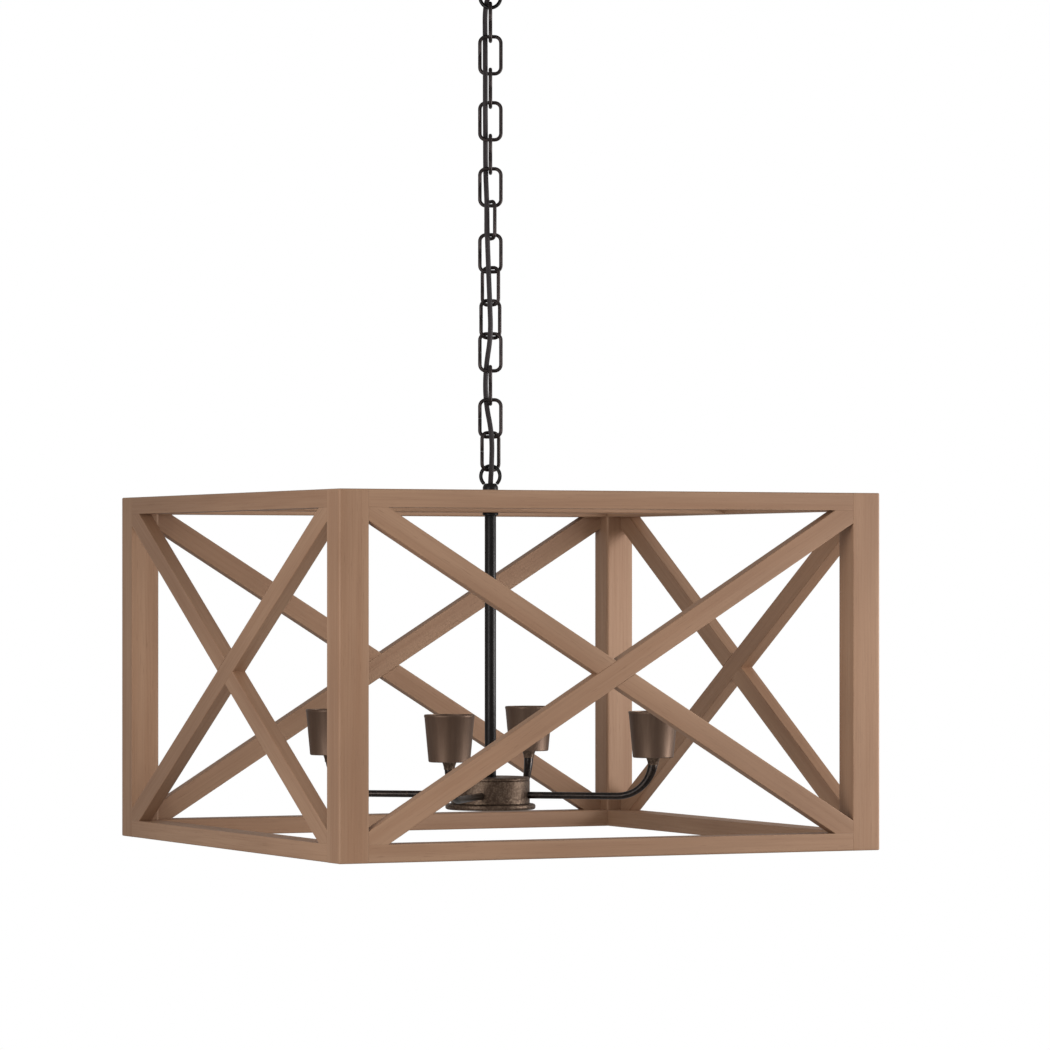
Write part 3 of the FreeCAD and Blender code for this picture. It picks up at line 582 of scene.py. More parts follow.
def soften(piece: bpy.types.Object, width: float, segments: int = 2,
           angle: float = 30.0) -> bpy.types.Object:
    """Round every sharp edge of a piece by a bevel."""
    return finish_with(piece, "BEVEL", width=width, segments=segments,
                       limit_method="ANGLE", angle_limit=radians(angle))


def shade(piece: bpy.types.Object, angle: float = 40.0) -> bpy.types.Object:
    """Shade a piece smooth except over its sharp edges."""
    take_up(piece)
    bpy.ops.object.shade_smooth_by_angle(angle=radians(angle))
    return piece


def carve(piece: bpy.types.Object, tool: bpy.types.Object,
          operation: str = "DIFFERENCE") -> None:
    """Cut a tool's shape out of a piece, or join or keep it, and put the tool away."""
    finish_with(piece, "BOOLEAN", operation=operation, object=tool, solver="EXACT")
    bpy.data.objects.remove(tool)


def remember_place(piece: bpy.types.Object, offset: float = 0.0,
                   frame: Matrix | None = None) -> None:
    """Keep where each vertex lies on the piece itself, for patterns that follow it.

    Args:
        piece: A mesh that isn't in its final place yet.
        offset: How far to shift the pattern, so that like pieces don't look alike.
        frame: Where the piece's own axes are now, if not at the origin.
    """
    mesh = piece.data
    back = (frame or Matrix.Identity(4)).inverted()
    shift = PATTERN_SHIFT * (offset % PATTERN_SPAN)
    layer = mesh.attributes.new("own_place", "FLOAT_VECTOR", "POINT")
    flat = [part for vertex in mesh.vertices for part in (back @ vertex.co + shift)]
    layer.data.foreach_set("vector", flat)


def put(piece: bpy.types.Object, frame: Matrix) -> bpy.types.Object:
    """Move a piece to its place and write the place into its mesh."""
    take_up(piece)
    piece.matrix_world = frame
    bpy.ops.object.transform_apply(location=True, rotation=True, scale=True)
    return piece


def copy_of(piece: bpy.types.Object, name: str) -> bpy.types.Object:
    """A copy of a piece with a mesh of its own."""
    take_up(piece)
    bpy.ops.object.duplicate(linked=False)
    return name_piece(name)


def join(name: str, pieces: Sequence[bpy.types.Object]) -> bpy.types.Object:
    """Several meshes made one object."""
    take_up(pieces[0])
    for piece in pieces[1:]:
        piece.select_set(True)
    if len(pieces) > 1:
        bpy.ops.object.join()
    return name_piece(name)


def start_point(name: str, place: Sequence[float]) -> bpy.types.Object:
    """A new mesh that is one vertex, for a section to be drawn from.

    Args:
        name: The piece's name.
        place: Where the vertex is.

    Returns:
        The piece, with its vertex selected.
    """
    bpy.ops.object.select_all(action="DESELECT")
    bpy.ops.mesh.primitive_plane_add(size=0.01, location=(0, 0, 0))
    piece = name_piece(name)
    with edit_mode():
        bpy.ops.mesh.select_all(action="SELECT")
        bpy.ops.mesh.merge(type="CENTER")
        bpy.ops.transform.translate(value=place)
    return piece


def box(name: str, size: Sequence[float]) -> bpy.types.Object:
    """A block about the origin.

    Args:
        name: The piece's name.
        size: Its length, width and height.

    Returns:
        The piece.
    """
    bpy.ops.object.select_all(action="DESELECT")
    bpy.ops.mesh.primitive_cube_add(size=1.0, location=(0, 0, 0))
    piece = name_piece(name)
    with edit_mode():
        bpy.ops.mesh.select_all(action="SELECT")
        bpy.ops.transform.resize(value=size)
    return piece


def rod(name: str, sides: int, radius: float, length: float, place: Sequence[float],
        turn: Sequence[float] = (0.0, 0.0, 0.0)) -> bpy.types.Object:
    """A rod or a prism, with its place in its mesh.

    Args:
        name: The piece's name.
        sides: How many facets it has around.
        radius: From its axis to its corners.
        length: How long it is.
        place: Where its middle is.
        turn: How it is turned from upright, in radians.

    Returns:
        The piece.
    """
    bpy.ops.object.select_all(action="DESELECT")
    bpy.ops.mesh.primitive_cylinder_add(vertices=sides, radius=radius, depth=length,
                                        location=place, rotation=turn)
    piece = name_piece(name)
    bpy.ops.object.transform_apply(location=True, rotation=True)
    return piece


def turned(name: str, outline: Sequence[Point], steps: int = 64,
           rounding: float = 0.0) -> bpy.types.Object:
    """A piece turned about the upright axis from half of its section.

    Args:
        name: The piece's name.
        outline: The section, each point its radius and its height, in millimetres. It is
            closed from its last point to its first.
        steps: How many facets a full turn has.
        rounding: The radius of its sharp edges.

    Returns:
        The piece, about its own axis at the origin.
    """
    first, last = (Vector((radius * MM, 0.0, height * MM))
                   for radius, height in (outline[0], outline[-1]))
    piece = start_point(name, first)
    with edit_mode():
        for before, after in zip(outline, outline[1:]):
            bpy.ops.mesh.extrude_vertices_move(TRANSFORM_OT_translate={
                "value": ((after[0] - before[0]) * MM, 0.0, (after[1] - before[1]) * MM)})
        pick(piece, "VERT", lambda at: min((at - first).length, (at - last).length) < TINY)
        bpy.ops.mesh.edge_face_add()
        bpy.ops.mesh.select_all(action="SELECT")
        bpy.ops.mesh.spin(steps=steps, angle=2 * pi, center=(0, 0, 0), axis=(0, 0, 1))
        bpy.ops.mesh.select_all(action="SELECT")
        bpy.ops.mesh.remove_doubles(threshold=2 * TINY)
        bpy.ops.mesh.normals_make_consistent(inside=False)
    if rounding:
        soften(piece, rounding)
    return shade(piece)


@dataclass(frozen=True)
class Run:
    """A straight length of wire or tube."""

    length: float
    cuts: int = 1


@dataclass(frozen=True)
class Bend:
    """A bend of wire or tube, about an axis across it."""

    angle: float
    radius: float
    axis: tuple[float, float, float]
    steps: int = 8


def bent(name: str, radius: float, start: Sequence[float], heading: Sequence[float],
         moves: Sequence[Run | Bend], sides: int = 16) -> bpy.types.Object:
    """A round wire bent step by step, as on a bending jig, with flat closed ends.

    Args:
        name: The piece's name.
        radius: The wire's own radius.
        start: Where the wire starts.
        heading: The way it sets out, as a unit vector.
        moves: The runs and bends in order.
        sides: How many facets the wire has around.

    Returns:
        The wire as a closed mesh.
    """
    bpy.ops.object.select_all(action="DESELECT")
    way = Vector(heading)
    turn = UP.rotation_difference(way).to_euler()
    bpy.ops.mesh.primitive_circle_add(vertices=sides, radius=radius, fill_type="NOTHING",
                                      location=start, rotation=turn)
    piece = name_piece(name)
    bpy.ops.object.transform_apply(location=True, rotation=True, scale=True)
    place = Vector(start)
    with edit_mode("EDGE"):
        bpy.ops.mesh.select_all(action="SELECT")
        for move in moves:
            if isinstance(move, Run):
                for _ in range(move.cuts):
                    bpy.ops.mesh.extrude_edges_move(TRANSFORM_OT_translate={
                        "value": way * move.length / move.cuts})
                place = place + way * move.length
            else:
                axis = Vector(move.axis)
                centre = place + axis.cross(way).normalized() * move.radius
                swing = Matrix.Rotation(move.angle, 3, axis)
                bpy.ops.mesh.spin(steps=move.steps, angle=-move.angle, center=centre, axis=axis)
                place = centre + swing @ (place - centre)
                way = swing @ way
        ends = (Vector(start), place)
        pick(piece, "EDGE", lambda at, along: min((at - end).length for end in ends)
             < radius * 1.001)
        bpy.ops.mesh.edge_face_add()
        bpy.ops.mesh.select_all(action="SELECT")
        bpy.ops.mesh.normals_make_consistent(inside=False)
    return piece


def along_axis(axis: int) -> Vector:
    """A unit step along X, Y or Z, for 0, 1 or 2."""
    return Vector([1.0 if part == axis else 0.0 for part in range(3)])


def at_axis(height: float, turn: float = 0.0, reach: float = 0.0) -> Matrix:
    """A place on the lamp's axis, turned about it, or out along an arm.

    Args:
        height: How high, in metres; the ceiling is zero.
        turn: How far turned about the axis, in radians.
        reach: How far out from the axis.

    Returns:
        The place as a matrix.
    """
    return Matrix.Rotation(turn, 4, "Z") @ Matrix.Translation((reach, 0.0, height))


@dataclass
class Assembly:
    """What every sub-assembly does with its finished pieces."""

    finishes: Finishes

    def dress(self, piece: bpy.types.Object, slot: Slot, body: Body, node: str,
              finish: str = "") -> None:
        """Give a piece its finish, hang it on its body and let it stand for its node.

        Args:
            piece: The finished mesh.
            slot: Its slot in the record.
            body: The body that it moves with.
            node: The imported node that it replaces.
            finish: Its finish, where it isn't the one that is named as the slot is.
        """
        piece.data.materials.clear()
        piece.data.materials.append(self.finishes.of(finish or slot.value))
        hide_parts(node)
        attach(piece, body.value)
        LOG.info("%s on %s, %d faces", piece.name, body.value, len(piece.data.polygons))

    def hang(self, piece: bpy.types.Object, frame: Matrix, slot: Slot, body: Body, node: str,
             offset: float = 0.0, finish: str = "") -> None:
        """Keep a piece's own pattern, put it in its place and dress it.

        Args:
            piece: The finished mesh, about its own origin.
            frame: Where it goes.
            slot: Its slot in the record.
            body: The body that it moves with.
            node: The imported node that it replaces.
            offset: How far its pattern is shifted.
            finish: Its finish, where it isn't the one that is named as the slot is.
        """
        remember_place(piece, offset)
        self.dress(put(piece, frame), slot, body, node, finish)


# ---------------------------------------------------------------- camera, floor and light

@dataclass
class Surroundings:
    """The camera at the photograph's viewing angle, a pale floor and soft light."""

    lens: float = 170.0
    shift: float = 0.0539
    eye: Triple = (-1.821, -3.941, -0.5583)
    floor_height: float = -2.45
    floor_size: float = 14.0
    surround: float = 0.41
    middle: Triple = (0.0, 0.0, -0.62)
    back_post: Triple = (0.24, 0.24, -0.6)

    def build(self) -> None:
        """Make the camera, the floor and the lights."""
        self.camera()
        self.floor()
        self.lights()
        self.world()

    def camera(self) -> None:
        """A level camera that looks at the lamp's front corner."""
        data = bpy.data.cameras.new("camera")
        data.sensor_width = 36.0
        data.lens = self.lens
        data.shift_y = self.shift
        data.clip_end = 100.0
        camera = bpy.data.objects.new("camera", data)
        camera.location = self.eye
        camera.rotation_euler = (pi / 2, 0.0, CHAIN_TURN)
        bpy.context.scene.collection.objects.link(camera)
        bpy.context.scene.camera = camera

    def floor(self) -> None:
        """A wide pale floor well below the lamp, white to the camera and clear from below."""
        bpy.ops.object.select_all(action="DESELECT")
        bpy.ops.mesh.primitive_plane_add(size=self.floor_size,
                                         location=(0, 0, self.floor_height))
        floor = name_piece("floor")
        bpy.ops.object.transform_apply(location=True)
        material = bpy.data.materials.new("pale_floor")
        material.use_nodes = True
        sheet = Sheet(material.node_tree)
        matt = sheet.node("ShaderNodeBsdfDiffuse", {"Color": (0.62, 0.61, 0.6, 1.0)}).outputs[0]
        glow = sheet.node("ShaderNodeEmission", {"Color": WHITE, "Strength": 1.0}).outputs[0]
        clear = sheet.node("ShaderNodeBsdfTransparent").outputs[0]
        seen = sheet.node("ShaderNodeLightPath").outputs["Is Camera Ray"]
        behind = sheet.node("ShaderNodeNewGeometry").outputs["Backfacing"]
        sheet.node("ShaderNodeOutputMaterial", {
            "Surface": sheet.mix(behind, sheet.mix(seen, matt, glow), clear)})
        floor.data.materials.append(material)

    def lights(self) -> None:
        """Soft lamps: front right, left, behind, and a small one for the back post."""
        for name, place, size, power, target in (
                ("key_light", (1.25, -0.8, -0.55), 0.7, 16.5, self.middle),
                ("fill_light", (-1.1, -0.75, -0.55), 0.7, 8.2, self.middle),
                ("rear_light", (0.5, 2.3, -0.7), 1.5, 15.0, self.middle),
                ("post_light", (0.8, -0.3, -0.6), 0.35, 1.5, self.back_post)):
            data = bpy.data.lights.new(name, "AREA")
            data.size = size
            data.energy = power
            light = bpy.data.objects.new(name, data)
            light.location = place
            light.visible_camera = False
            light.visible_glossy = name != "rear_light"
            aim = Vector(target) - Vector(place)
            light.rotation_euler = aim.to_track_quat("-Z", "Y").to_euler()
            bpy.context.scene.collection.objects.link(light)

    def world(self) -> None:
        """Even light from all round, and white where the camera sees it."""
        world = bpy.data.worlds.new("studio")
        bpy.context.scene.world = world
        world.use_nodes = True
        sheet = Sheet(world.node_tree)
        seen = sheet.node("ShaderNodeLightPath").outputs["Is Camera Ray"]
        plain = sheet.node("ShaderNodeBackground", {"Color": (1.0, 0.99, 0.98, 1.0),
                                                    "Strength": self.surround}).outputs[0]
        white = sheet.node("ShaderNodeBackground", {"Color": WHITE, "Strength": 1.0}).outputs[0]
        sheet.node("ShaderNodeOutputWorld", {"Surface": sheet.mix(seen, plain, white)})
        bpy.context.scene.view_settings.view_transform = "Standard"


# ---------------------------------------------------------------- cord

@dataclass
class SuspensionCord(Assembly):
    """The flexible cord, threaded through the chain and both loops."""

    diameter: float = 4.4 * MM
    sides: int = 14
    side_step: float = 5.4 * MM
    pitch: float = 28.9 * MM
    low: float = -465.9 * MM
    high: float = -47.0 * MM
    first_step: float = 7.15 * MM
    beyond: Point = (15.5 * MM, 5 * MM)
    samples: int = 10
    blend_inset: float = 0.2
    steps: tuple[Point, ...] = (
        (0.2, -1.22), (0.3, -1.14), (-0.8, 0.92), (-0.8, 0.88), (0.1, -1.08),
        (-0.1, -1.12), (-0.3, -0.98), (-0.5, -0.98), (-0.55, -0.98), (-0.8, 0.92),
        (-0.8, 0.88), (-0.82, -0.95), (-0.82, -0.95), (-0.85, 0.95), (-0.9, 0.93))
    stretches: tuple[tuple[str, float, float, Body, Body | None], ...] = (
        ("cord_at_stem", -0.5, -0.446, Body.LAMP, Body.LINK_BOTTOM),
        ("cord_at_first_link", -0.446, -0.417, Body.LINK_BOTTOM, Body.CHAIN_LOWER),
        ("cord_lower", -0.417, -0.276, Body.CHAIN_LOWER, None),
        ("cord_at_twist", -0.276, -0.238, Body.CHAIN_LOWER, Body.CHAIN_UPPER),
        ("cord_upper", -0.238, -0.0995, Body.CHAIN_UPPER, None),
        ("cord_at_last_link", -0.0995, -0.0702, Body.CHAIN_UPPER, Body.LINK_TOP),
        ("cord_at_canopy", -0.0702, 0.0, Body.LINK_TOP, Body.CANOPY))

    def route(self) -> list[Vector]:
        """The cord's points from the stem's loop up to the canopy's."""
        front = Matrix.Rotation(CHAIN_TURN, 3, "Z")
        points = [UP * (self.low - inside) for inside in self.beyond]
        for count, (across, away) in enumerate(self.steps):
            aside = front @ Vector((across, away, 0.0)) * self.side_step
            points.append(aside + UP * (self.low + self.first_step + count * self.pitch))
        return points + [UP * (self.high + inside) for inside in reversed(self.beyond)]

    def centreline(self) -> list[Vector]:
        """Points read from the route's smooth curve."""
        curve = bpy.data.curves.new("cord_route", "CURVE")
        curve.dimensions = "3D"
        curve.resolution_u = self.samples
        spline = curve.splines.new("NURBS")
        route = self.route()
        spline.points.add(len(route) - 1)
        for point, place in zip(spline.points, route):
            point.co = (*place, 1.0)
        spline.order_u = 3
        spline.use_endpoint_u = True
        carrier = bpy.data.objects.new("cord_route", curve)
        bpy.context.scene.collection.objects.link(carrier)
        bpy.context.view_layer.update()
        line = bpy.data.meshes.new_from_object(carrier)
        points = [vertex.co.copy() for vertex in line.vertices]
        bpy.data.objects.remove(carrier)
        bpy.data.meshes.remove(line)
        bpy.data.curves.remove(curve)
        return points

    def tube(self, name: str, points: Sequence[Vector], start: float) -> bpy.types.Object:
        """A round tube along points, with its own UV map in metres.

        Args:
            name: The piece's name.
            points: The centreline.
            start: How far along the cord its first point is.

        Returns:
            The tube.
        """
        radius, sides = self.diameter / 2, self.sides
        vertices: list[Vector] = []
        lengths = [start]
        side = Vector((1.0, 0.0, 0.0))
        for index, place in enumerate(points):
            before, after = points[max(index - 1, 0)], points[min(index + 1, len(points) - 1)]
            way = (after - before).normalized()
            side = (side - way * side.dot(way)).normalized()
            across = way.cross(side)
            if index:
                lengths.append(lengths[-1] + (place - points[index - 1]).length)
            vertices += [place + (side * cos(2 * pi * step / sides)
                                  + across * sin(2 * pi * step / sides)) * radius
                         for step in range(sides)]
        faces, weave = [], []
        for ring in range(len(points) - 1):
            for step in range(sides):
                following = (step + 1) % sides
                faces.append((ring * sides + step, ring * sides + following,
                              (ring + 1) * sides + following, (ring + 1) * sides + step))
                for corner, level in ((step, ring), (step + 1, ring), (step + 1, ring + 1),
                                      (step, ring + 1)):
                    weave.append((lengths[level], corner / sides * 2 * pi * radius))
        mesh = bpy.data.meshes.new(name)
        mesh.from_pydata(vertices, [], faces)
        layer = mesh.uv_layers.new(name="weave")
        for loop, place in zip(layer.data, weave):
            loop.uv = place
        mesh.polygons.foreach_set("use_smooth", [True] * len(mesh.polygons))
        piece = bpy.data.objects.new(name, mesh)
        bpy.context.scene.collection.objects.link(piece)
        return piece

    def build(self) -> None:
        """Make the cord in stretches, one for each body or joint that it passes."""
        points = self.centreline()
        along = [0.0]
        for before, after in zip(points, points[1:]):
            along.append(along[-1] + (after - before).length)
        LOG.info("cord %.1f mm long", along[-1] / MM)
        for name, low, high, body, following in self.stretches:
            span = [index for index, place in enumerate(points) if low <= place.z <= high]
            first, last = max(span[0] - 1, 0), span[-1]
            piece = self.tube(name, points[first:last + 1], along[first])
            piece.data.materials.append(self.finishes.of(Slot.CORD.value))
            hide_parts("cord")
            if following is None:
                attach(piece, body.value)
            else:
                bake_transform(piece)
            LOG.info("%s, %d faces", piece.name, len(piece.data.polygons))


# ---------------------------------------------------------------- chain

@dataclass
class Chain(Assembly):
    """Fourteen links bent from round wire, each closed by a butt joint in one side."""

    wire: float = 3.2 * MM
    bar_span: float = 32.4 * MM
    side_span: float = 18.4 * MM
    corner: float = 5.5 * MM
    pitch: float = 28.9 * MM
    first_height: float = -444.3 * MM
    butt: float = 0.12 * MM
    end_round: float = 0.15 * MM
    pattern_step: float = 0.61
    turns: tuple[int, ...] = (38, 0, 90, 0, 28, -40, 0, -65, 0, 90, 0, 90, 0, 90)

    def link(self) -> bpy.types.Object:
        """One link, upright about its own middle, with its joint in its left side."""
        inner_up = self.bar_span / 2 - self.corner
        inner_across = self.side_span / 2 - self.corner
        turn = Bend(pi / 2, self.corner, (0.0, 1.0, 0.0), 7)
        side, bar = Run(2 * inner_up), Run(2 * inner_across)
        half = Run(inner_up - self.butt / 2)
        link = bent("link_model", self.wire / 2, (-self.side_span / 2, 0.0, self.butt / 2),
                    (0.0, 0.0, 1.0), (half, turn, bar, turn, side, turn, bar, turn, half))
        soften(link, self.end_round, 1, 50.0)
        return shade(link, 50.0)

    def build(self) -> None:
        """Hang every link at its own turn and gather them as the bodies do."""
        model = self.link()
        for node, body, numbers in (("chain_link_first", Body.LINK_BOTTOM, range(1, 2)),
                                    ("chain_lower_run", Body.CHAIN_LOWER, range(2, 8)),
                                    ("chain_upper_run", Body.CHAIN_UPPER, range(8, 14)),
                                    ("chain_link_last", Body.LINK_TOP, range(14, 15))):
            links = []
            for number in numbers:
                link = copy_of(model, f"{node}_{number}")
                remember_place(link, number * self.pattern_step)
                links.append(put(link, at_axis(self.first_height + (number - 1) * self.pitch,
                                               CHAIN_TURN + radians(self.turns[number - 1]))))
            self.dress(join(f"{node}_links", links), Slot.CHAIN, body, node)
        bpy.data.objects.remove(model)


# ---------------------------------------------------------------- wooden cage

@dataclass
class CageSizes:
    """The cage's sizes, in metres."""

    side: float = 500 * MM
    height: float = 304 * MM
    bottom: float = -786.9 * MM
    post: float = 26 * MM
    post_round: float = 2 * MM
    post_end_round: float = 1 * MM
    rail: float = 15 * MM
    rail_round: float = 1.5 * MM
    rail_end_round: float = 0.08 * MM
    brace: float = 18.5 * MM
    brace_thick: float = 12 * MM
    brace_round: float = 0.7 * MM
    brace_end_round: float = 0.3 * MM
    brace_spare: float = 30 * MM
    tenon: float = 8 * MM
    tight_round: float = 0.3 * MM
    rim: float = 3.2 * MM

    @property
    def inner(self) -> float:
        """The clear width between two posts."""
        return self.side - 2 * self.post

    @property
    def inner_height(self) -> float:
        """The clear height between two rails."""
        return self.height - 2 * self.rail

    @property
    def middle(self) -> float:
        """How high the cage's middle is."""
        return self.bottom + self.height / 2


@dataclass
class Cage(Assembly):
    """The square open box of posts, rails, crossed braces and one bar across the top."""

    sizes: CageSizes = field(default_factory=CageSizes)
    pattern_step: float = 1.37
    count: int = 0

    def stick(self, name: str, size: Triple, rounding: float, end_round: float,
              tight: Callable[[Vector], bool] = lambda at: False) -> bpy.types.Object:
        """A planed stick along X, its edges eased, with a band of faces along each edge.

        Args:
            name: The piece's name.
            size: Its length, width and thickness, along X, Y and Z.
            rounding: The radius of its long edges.
            end_round: The radius of the edges round its ends.
            tight: Which long edges are left almost sharp, because a neighbour meets them.

        Returns:
            The stick about the origin.
        """
        piece = box(name, size)
        halves = [part / 2 for part in size]
        with edit_mode():
            pick(piece, "EDGE", lambda at, along: abs(along.x) > 0.9 and tight(at))
            if piece.data.total_edge_sel:
                bpy.ops.mesh.bevel(offset=self.sizes.tight_round, segments=2, affect="EDGES")
            pick(piece, "EDGE", lambda at, along: abs(along.x) > 0.9 and not tight(at)
                 and abs(at.y) > halves[1] - TINY and abs(at.z) > halves[2] - TINY)
            bpy.ops.mesh.bevel(offset=rounding, segments=4, affect="EDGES")
            pick(piece, "EDGE", lambda at, along: abs(along.x) < 0.5)
            bpy.ops.mesh.bevel(offset=end_round, segments=2, affect="EDGES")
            for axis, half in enumerate(halves):
                normal = along_axis(axis)
                for side in (-1, 1):
                    bpy.ops.mesh.select_all(action="SELECT")
                    bpy.ops.mesh.bisect(plane_co=normal * side * (half - self.sizes.rim),
                                        plane_no=normal)
        return piece

    def mark(self, piece: bpy.types.Object, size: Triple, frame: Matrix | None = None,
             free_ends: bool = False) -> None:
        """Write the stick's grain and how near each point is to an edge.

        Args:
            piece: The stick.
            size: Its length, width and thickness.
            frame: Where the stick's own axes are now.
            free_ends: Whether its end edges are paled as well, as partly rubbed wear and partly a
                painted highlight.
        """
        self.count += 1
        remember_place(piece, self.count * self.pattern_step, frame)
        back = (frame or Matrix.Identity(4)).inverted()
        axes = range(0 if free_ends else 1, 3)
        values = []
        for vertex in piece.data.vertices:
            place = back @ vertex.co
            gap = sorted(size[axis] / 2 - abs(place[axis]) for axis in axes)[1]
            values.append(max(0.0, min(1.0, 1.0 - gap / self.sizes.rim)))
        layer = piece.data.attributes.new("rim", "FLOAT", "POINT")
        layer.data.foreach_set("value", values)

    def finish_stick(self, piece: bpy.types.Object, frame: Matrix, node: str) -> None:
        """Put a stick in its place, smooth its edges with its faces kept flat, and dress it.

        Args:
            piece: The stick.
            frame: Where it goes.
            node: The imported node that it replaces.
        """
        finish_with(shade(put(piece, frame)), "WEIGHTED_NORMAL", keep_sharp=True)
        self.dress(piece, Slot.WOOD, Body.LAMP, node)

    def build(self) -> None:
        """Make every stick of the cage."""
        sizes = self.sizes
        middle = (sizes.side - sizes.post) / 2
        for name, x, y in (("back_right", 1, 1), ("back_left", -1, 1),
                           ("front_left", -1, -1), ("front_right", 1, -1)):
            self.post(name, x, y, Matrix.Translation((x * middle, y * middle, sizes.middle)))
        for name, turn in (("front", 0), ("right", 90), ("back", 180), ("left", 270)):
            side = at_axis(sizes.middle, radians(turn))
            for level, height in (("bottom", -1), ("top", 1)):
                lift = height * (sizes.height - sizes.rail) / 2
                self.rail(f"{level}_rail_{name}",
                          side @ Matrix.Translation((0, -middle, lift)), -height)
            for slant in Slant:
                self.brace(name, slant, side)
        self.rail("crossbar", at_axis(sizes.bottom + sizes.height - sizes.rail / 2),
                  bored=True)

    def post(self, corner: str, x: int, y: int, frame: Matrix) -> None:
        """A corner post, with its outer and inner edges eased and its others tight.

        Args:
            corner: The corner's name.
            x: Which way the corner lies along X, 1 or -1.
            y: Which way it lies along Y.
            frame: Where its middle goes.
        """
        sizes = self.sizes
        size = (sizes.height, sizes.post, sizes.post)
        stick = self.stick(f"post_{corner}", size, sizes.post_round, sizes.post_end_round,
                           lambda at: (at.y * y > 0) == (at.z * x > 0))
        self.mark(stick, size, free_ends=True)
        self.finish_stick(stick, frame @ Matrix.Rotation(-pi / 2, 4, "Y"),
                          f"corner_post_{corner}")

    def rail(self, node: str, frame: Matrix, inward: int = 0, bored: bool = False) -> None:
        """A rail between two posts, or the crossbar between two rails.

        Args:
            node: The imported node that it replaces.
            frame: Where its middle goes.
            inward: Which of its faces the braces stand on, 1 for the upper one.
            bored: Whether the stem goes through it.
        """
        sizes = self.sizes
        size = (sizes.inner, sizes.post, sizes.rail)
        stick = self.stick(f"{node}_stick", size, sizes.rail_round, sizes.rail_end_round,
                           lambda at: at.y < 0 and at.z * inward > 0)
        carve(stick, box("tenons", (sizes.inner + 2 * sizes.tenon, sizes.tenon, sizes.tenon)),
              "UNION")
        if bored:
            carve(stick, turned("drill", [(0, -20), (5.2, -20), (5.2, 20), (0, 20)], 32))
        self.mark(stick, size)
        self.finish_stick(stick, frame, node)

    def brace(self, side_name: str, slant: Slant, side: Matrix) -> None:
        """One diagonal, sawn to fit its corners and half-lapped over or under the other.

        Args:
            side_name: The side of the cage.
            slant: Which way it climbs.
            side: Where the side's middle is.
        """
        sizes = self.sizes
        node = f"brace_{side_name}_{slant.name.lower()}"
        slope = Vector((sizes.inner, 0.0, sizes.inner_height * slant.value)).normalized()
        angle = -slant.value * along_axis(0).angle(slope)
        depth = -(sizes.side - sizes.brace_thick) / 2
        size = (hypot(sizes.inner, sizes.inner_height) + sizes.brace_spare,
                sizes.brace_thick, sizes.brace)
        board = self.stick(f"{node}_board", size, sizes.brace_round, sizes.brace_end_round)
        frame = Matrix.Translation((0, depth, 0)) @ Matrix.Rotation(angle, 4, "Y")
        put(board, frame)
        with edit_mode():
            for axis, reach in ((0, sizes.inner / 2), (2, sizes.inner_height / 2)):
                for way in (-1, 1):
                    normal = along_axis(axis) * way
                    bpy.ops.mesh.select_all(action="SELECT")
                    bpy.ops.mesh.bisect(plane_co=normal * reach, plane_no=normal,
                                        use_fill=True, clear_outer=True)
        lap = depth + slant.value * sizes.brace_thick / 2
        carve(board, put(box("lap", size), Matrix.Translation((0, lap, 0))
                         @ Matrix.Rotation(-angle, 4, "Y")))
        self.mark(board, size, frame)
        self.finish_stick(board, side, node)


# ---------------------------------------------------------------- stem and hub

